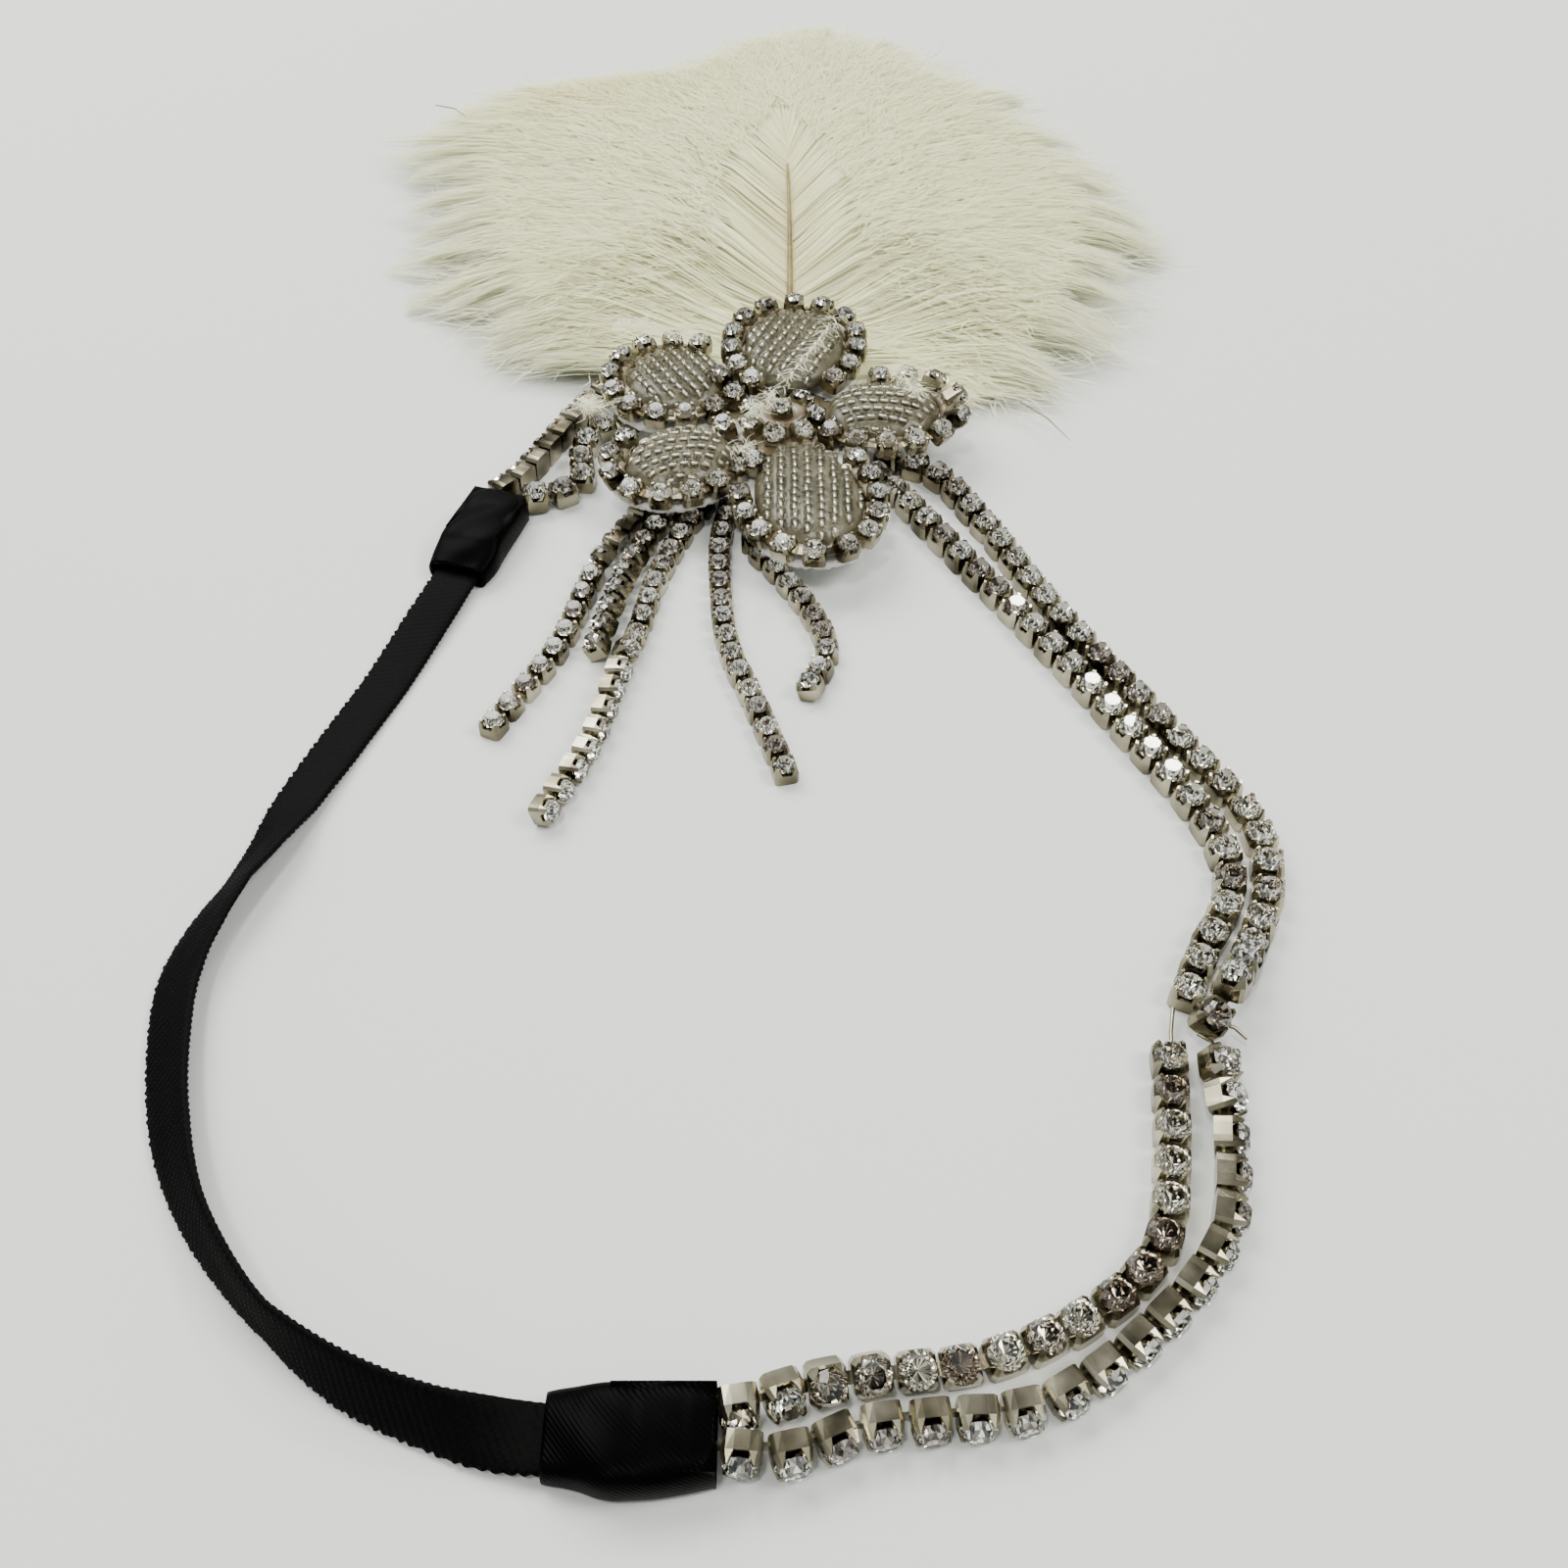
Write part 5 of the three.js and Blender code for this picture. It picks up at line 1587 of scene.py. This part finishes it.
def barb_lines(count):
    """Points, half widths and tints of barbs, as arrays with one row for each barb."""
    steps = np.linspace(0, 1, BARB_SAMPLES)
    index = RNG.uniform(0, LAST_LOCK, count)
    crown = RNG.uniform(0, 1, count) < CROWN_SHARE_OF_BARBS
    index = np.where(crown, RNG.normal(LAST_LOCK / 2, CROWN_SPREAD, count), index)
    index = np.clip(index, 0, LAST_LOCK)
    centres = np.sort(RNG.uniform(0, LAST_LOCK, STRANDS))
    nearest = centres[np.clip(np.searchsorted(centres, index), 0, STRANDS - 1)]
    strand = np.searchsorted(centres, index)
    strand_reach = RNG.normal(0.99, 0.04, STRANDS + 1)[strand]
    strand_wave = RNG.uniform(0, 2 * math.pi, STRANDS + 1)[strand]
    strand_level = RNG.uniform(0, 1, STRANDS + 1)[strand]
    tufts = np.sort(RNG.uniform(0, LAST_LOCK, TUFTS))
    tuft = np.abs(index[:, None] - tufts[None, :]).argmin(axis=1)
    tuft_reach = RNG.normal(0.95, 0.075, TUFTS)[tuft] * np.interp(index, range(len(LOCKS)), SIDE_REACH)
    reach = strand_reach * tuft_reach * RNG.choice([1.0, 0.88, 0.72], count, p=[0.60, 0.25, 0.15])
    reach += RNG.normal(0, 0.03, count)
    reach = np.clip(reach, 0.4, 1.09)
    pull = 0.45
    index_end = mix(index, nearest, pull * RNG.uniform(0.4, 1.0, count))
    middle, under, upper = plume_section(index, steps[None, :] * np.ones((count, 1)), reach[:, None])
    middle_end, _, _ = plume_section(index_end, steps[None, :] * np.ones((count, 1)), reach[:, None])
    middle = mix(middle, middle_end, (steps ** 0.7)[None, :, None])
    gather = mix(index, tufts[tuft], TUFT_PULL * RNG.uniform(0.35, 1.0, count))
    middle_tuft, _, _ = plume_section(gather, steps[None, :] * np.ones((count, 1)), reach[:, None])
    middle = mix(middle, middle_tuft, (steps ** 2.2)[None, :, None])
    level = np.clip(1 - np.abs(RNG.normal(0, 0.20, count)) - 0.10 * strand_level, 0.0, 1.0)
    level = np.where(RNG.uniform(0, 1, count) < 0.22, RNG.uniform(0, 1, count), level)
    height = mix(under, upper, level[:, None])
    sway = np.sin(strand_wave[:, None] + steps[None, :] * 5.0) * (1.5 * steps[None, :] ** 1.3)
    own_wave = RNG.uniform(0, 2 * math.pi, (count, 1)) + steps[None, :] * RNG.uniform(3, 9, (count, 1))
    curl = RNG.normal(0, 0.9, (count, 1)) * steps[None, :] ** 2.2 + np.sin(own_wave) * 0.6 * steps[None, :]
    along = np.gradient(middle, axis=1)
    along /= np.maximum(np.linalg.norm(along, axis=2, keepdims=True), 1e-6)
    aside = np.stack([-along[..., 1], along[..., 0], np.zeros(along.shape[:2])], axis=-1)
    points = middle + aside * (sway + curl)[..., None]
    points[..., 2] = height + RNG.normal(0, 0.25, (count, 1)) * steps[None, :]
    points[..., 2] = np.maximum(points[..., 2], 0.25)
    half = BARB_HALF * RNG.uniform(0.6, 1.25, count)[:, None] * np.interp(
        steps, [0, 0.15, 0.7, 1], [0.55, 1.0, 0.8, 0.18])[None, :]
    patch = np.exp(-((middle[..., 0] + 46) / 26) ** 2 - ((middle[..., 1] - 106) / 11) ** 2)
    tint = IVORY + RNG.normal(0.06, 0.09, count)[:, None] - 0.2 * patch
    tint = tint + np.interp(steps, [0, 0.06, 0.75, 1], [-0.16, 0, 0.02, 0.3])[None, :]
    tilt = RNG.normal(0, 0.4, count)[:, None] * np.ones(BARB_SAMPLES)
    return points, half, tilt, np.clip(tint, 0, 1)


def add_barbs():
    points, half, tilt, tint = barb_lines(BARBS)
    for number, start in enumerate(range(0, BARBS, BARBS_IN_PIECE)):
        part = slice(start, min(start + BARBS_IN_PIECE, BARBS))
        piece = sweep("barbs_%d" % (number + 1), points[part], half[part], RIBBON_TREE, FEATHER,
                      tilts=tilt[part], tints=tint[part])
        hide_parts("ostrich_plume")
        print(piece.name, len(piece.data.polygons), "faces, facing up",
              round(float(np.mean([p.normal.z for p in piece.data.polygons[:2000]])), 2))


add_barbs()

# %% [markdown]
# Each barb carries finer hairs of its own, and these make the plume look soft. Short
# hairs lie over its upper side, turned a little away from the barbs. Long stray
# hairs reach past the outline, and a few are brown.

# %% Fluff and stray hairs
FLUFF = 30000
FLUFF_TURN = 0.42
FLUFF_LONG = (2.5, 7.0)
FLUFF_HALF = 0.07


def add_hairs(name, starts, headings, lengths, half, tints, rise=0.2):
    """Short hairs of three points each, that bend a little sideways."""
    count = len(starts)
    aside = np.stack([-headings[:, 1], headings[:, 0], np.zeros(count)], axis=1)
    bend = RNG.normal(0, 0.16, (count, 1)) * lengths[:, None]
    points = np.stack([starts, starts + headings * lengths[:, None] / 2 + aside * bend,
                       starts + headings * lengths[:, None] + aside * bend * RNG.uniform(0, 3, (count, 1))], axis=1)
    points[:, :, 2] += np.array([0, rise, rise * 0.6])
    widths = np.array([0.8, 1.0, 0.2])[None, :] * half * RNG.uniform(0.6, 1.3, (count, 1))
    tilts = RNG.normal(0, 0.4, (count, 1)) * np.ones(3)
    piece = sweep(name, points, widths, RIBBON_TREE, FEATHER,
                  tilts=tilts, tints=tints[:, None] * np.ones(3))
    return piece


def turned(headings, angles):
    cos, sin = np.cos(angles), np.sin(angles)
    return np.stack([headings[:, 0] * cos - headings[:, 1] * sin,
                     headings[:, 0] * sin + headings[:, 1] * cos, np.zeros(len(angles))], axis=1)


YELLOWED = {"x": -46, "y": 106, "wide": 26, "long": 11}


def add_fluff():
    index = RNG.uniform(0, LAST_LOCK, FLUFF)
    share = RNG.uniform(0.08, 0.66, FLUFF) ** 0.7
    middle, _, upper = plume_section(index, np.stack([share, share + 0.02], axis=1))
    height = upper[:, 0] + RNG.uniform(-0.5, 0.5, FLUFF)
    starts = np.stack([middle[:, 0, 0], middle[:, 0, 1], height], axis=1)
    headings = middle[:, 1] - middle[:, 0]
    headings /= np.maximum(np.linalg.norm(headings, axis=1, keepdims=True), 1e-6)
    headings = turned(headings, RNG.normal(0, FLUFF_TURN, FLUFF))
    clear = np.hypot(starts[:, 0], starts[:, 1]) > FLOWER_CLEAR - 4
    aside = (starts[:, 0] - YELLOWED["x"]) / YELLOWED["wide"]
    ahead = (starts[:, 1] - YELLOWED["y"]) / YELLOWED["long"]
    patch = np.exp(-aside ** 2 - ahead ** 2)
    tint = np.clip(RNG.normal(0.60, 0.12, FLUFF) - 0.2 * patch, 0, 1)
    piece = add_hairs("fluff", starts[clear], headings[clear], RNG.uniform(*FLUFF_LONG, FLUFF)[clear],
                      FLUFF_HALF, tint[clear])
    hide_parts("ostrich_plume")


add_fluff()

STRAYS = 5200
STRAY_LONG = (3.5, 12.0)
TOP_OF_PLUME = (8.6, 1.9)
BROWN_HAIRS = [
    [(-19.3, 84.3), (-17.1, 80.2), (-15.3, 72.0)], [(40.2, 11.7), (44.3, 6.9), (47.5, 0.5)],
    [(0.6, 49.0), (2.6, 50.2), (4.4, 51.9)], [(-70.0, 98.0), (-66.0, 96.5), (-63.0, 92.5)],
]


def add_strays():
    index = np.where(RNG.uniform(0, 1, STRAYS) < 0.5, RNG.uniform(0, LAST_LOCK, STRAYS),
                     RNG.normal(*TOP_OF_PLUME, STRAYS))
    index = np.clip(index, 0, LAST_LOCK)
    share = RNG.uniform(0.70, 0.97, STRAYS)
    middle, under, upper = plume_section(index, np.stack([share, share + 0.02], axis=1))
    starts = np.stack([middle[:, 0, 0], middle[:, 0, 1], mix(under[:, 0], upper[:, 0], 0.5)], axis=1)
    headings = middle[:, 1] - middle[:, 0]
    headings /= np.maximum(np.linalg.norm(headings, axis=1, keepdims=True), 1e-6)
    headings = turned(headings, RNG.normal(0, 0.5, STRAYS))
    tint = np.where(RNG.uniform(0, 1, STRAYS) < 0.015, 0.05, RNG.uniform(0.6, 1.0, STRAYS))
    starts[:, 2] = np.maximum(starts[:, 2], 0.6)
    add_hairs("stray_hairs", starts, headings, RNG.uniform(*STRAY_LONG, STRAYS), 0.08, tint)


def add_brown_hairs():
    lines = []
    for row in BROWN_HAIRS:
        flat = np.array(row)
        height = plume_top(flat[:, 0], flat[:, 1]) + 0.4
        lines.append(np.column_stack([flat, np.where(flat[:, 1] < 13, 3.0, height)]))
    radii = [np.array([0.12, 0.14, 0.06])] * len(lines)
    piece = sweep("brown_hairs", lines, radii, WIRE_TREE, QUILL_TAN)


add_strays()
add_brown_hairs()

# %% [markdown]
# Down from the plume has caught on the stones. It lies in thin wisps over the top
# petal, the rims beside the plume and the short chains at the left.

# %% Wisps of down
WISPS = [
    {"line": [(9.1, 24.2), (4.9, 14.0), (-0.5, 2.8), (-5.0, -5.1)], "z": 12.2, "spread": 0.7, "hairs": 240},
    {"line": [(18.6, 9.5), (19.9, 4.8), (21.8, 0.5)], "z": 12.0, "spread": 0.9, "hairs": 150},
    {"line": [(-29.9, 22.8), (-23.6, 23.7), (-16.0, 19.7)], "z": 10.4, "spread": 1.6, "hairs": 300},
    {"line": [(-9.6, -10.6), (-7.4, -11.9), (-5.3, -11.2)], "z": 10.2, "spread": 0.5, "hairs": 40},
    {"line": [(-34.3, 4.9), (-31.7, 3.8), (-27.9, 5.7), (-25.3, 7.7)], "z": 7.4, "spread": 1.4, "hairs": 260},
]


def add_wisps():
    starts, headings = [], []
    for wisp in WISPS:
        line = np.array(wisp["line"])
        knots = RNG.uniform(0, len(line) - 1, wisp["hairs"])
        rows = np.arange(len(line))
        flat = np.stack([np.interp(knots, rows, line[:, k]) for k in range(2)], axis=1)
        ahead = line[np.minimum(knots.astype(int) + 1, len(line) - 1)] - line[knots.astype(int)]
        ahead /= np.linalg.norm(ahead, axis=1, keepdims=True)
        sideways = np.stack([-ahead[:, 1], ahead[:, 0]], axis=1)
        flat += sideways * RNG.normal(0, wisp["spread"] / 2, (wisp["hairs"], 1))
        lift = wisp["z"] + RNG.normal(0, 0.25, wisp["hairs"])
        starts.append(np.column_stack([flat, lift]))
        level = np.column_stack([ahead, np.zeros(wisp["hairs"])])
        headings.append(turned(level, RNG.normal(0, 0.8, wisp["hairs"])))
    starts, headings = np.concatenate(starts), np.concatenate(headings)
    count = len(starts)
    add_hairs("wisps", starts, headings, RNG.uniform(1.2, 3.6, count), 0.05, np.full(count, 0.8))


add_wisps()


def add_quill():
    shares = np.linspace(0.30, 0.80, 24)
    line = quill_point(shares)
    line[:, 2] += 2.9
    radii = np.linspace(0.66, 0.24, 24)
    piece = sweep("quill", [line], [radii], TUBE_TREE, QUILL_TAN)


add_quill()

# %% [markdown]
# A pale table and soft light.

# %% Floor and light
FLOOR = new_material("table_top", (0.70, 0.715, 0.70), Roughness=0.75, Specular_IOR_Level=0.2)
color_by(FLOOR, noise(FLOOR, 3.0, 2), [(0.3, (0.69, 0.705, 0.69)), (0.7, (0.72, 0.735, 0.72))])


def add_floor():
    corners = [(-1.5, -1.5, 0), (1.5, -1.5, 0), (1.5, 1.5, 0), (-1.5, 1.5, 0)]
    mesh = mesh_of("floor", corners, [(0, 1, 2, 3)])
    mesh.materials.append(FLOOR)
    new_object("table_top", mesh)


add_floor()
LIGHTS = [
    ("window", (-0.45, 0.55, 0.85), (0.9, 0.7), 19.0, (1.0, 1.0, 0.98)),
    ("room", (0.60, -0.10, 0.75), (0.35, 0.35), 6.5, (1.0, 0.98, 0.94)),
    ("lamp", (-0.15, -0.35, 0.95), (0.10, 0.10), 3.4, (1.0, 0.98, 0.93)),
    ("far_lamp", (0.25, 0.60, 0.70), (0.08, 0.08), 2.0, (1.0, 0.98, 0.93)),
]
for name, place, size, power, color in LIGHTS:
    data = bpy.data.lights.new(name, "AREA")
    data.shape = "RECTANGLE"
    data.energy = power
    data.size, data.size_y = size
    data.color = color
    lamp = bpy.data.objects.new(name, data)
    lamp.location = place
    lamp.rotation_euler = (-Vector(place)).to_track_quat("-Z", "Y").to_euler()
    bpy.context.scene.collection.objects.link(lamp)

world = bpy.data.worlds.new("studio")
bpy.context.scene.world = world
world.use_nodes = True
PATCHES_FROM = (0.40, 0.58)
PLAIN_LOOK = 0.56
ROOM_LOOK = [
    (0.42, (0.02, 0.02, 0.02)),
    (0.48, (0.08, 0.085, 0.085)),
    (0.54, (0.34, 0.36, 0.36)),
    (0.60, (1.4, 1.46, 1.46)),
]
facing = add_node(world, "ShaderNodeTexCoord")
patches = add_node(world, "ShaderNodeTexNoise", Scale=2.6, Detail=1.0)
ramp = add_node(world, "ShaderNodeValToRGB")
while len(ramp.color_ramp.elements) < len(ROOM_LOOK):
    ramp.color_ramp.elements.new(0.5)
for element, (place, color) in zip(ramp.color_ramp.elements, ROOM_LOOK):
    element.position = place
    element.color = (*color, 1)
axes = add_node(world, "ShaderNodeSeparateXYZ")
height = add_node(world, "ShaderNodeMapRange")
height.inputs["From Min"].default_value, height.inputs["From Max"].default_value = PATCHES_FROM
blend = add_node(world, "ShaderNodeMix", data_type="FLOAT")
blend.inputs[2].default_value = PLAIN_LOOK
join_nodes(world, (facing.outputs["Generated"], patches.inputs["Vector"]),
           (facing.outputs["Generated"], axes.inputs[0]),
           (axes.outputs["Z"], height.inputs["Value"]), (height.outputs["Result"], blend.inputs[0]),
           (patches.outputs["Fac"], blend.inputs[3]), (blend.outputs[0], ramp.inputs["Fac"]),
           (ramp.outputs["Color"], world.node_tree.nodes["Background"].inputs["Color"]))
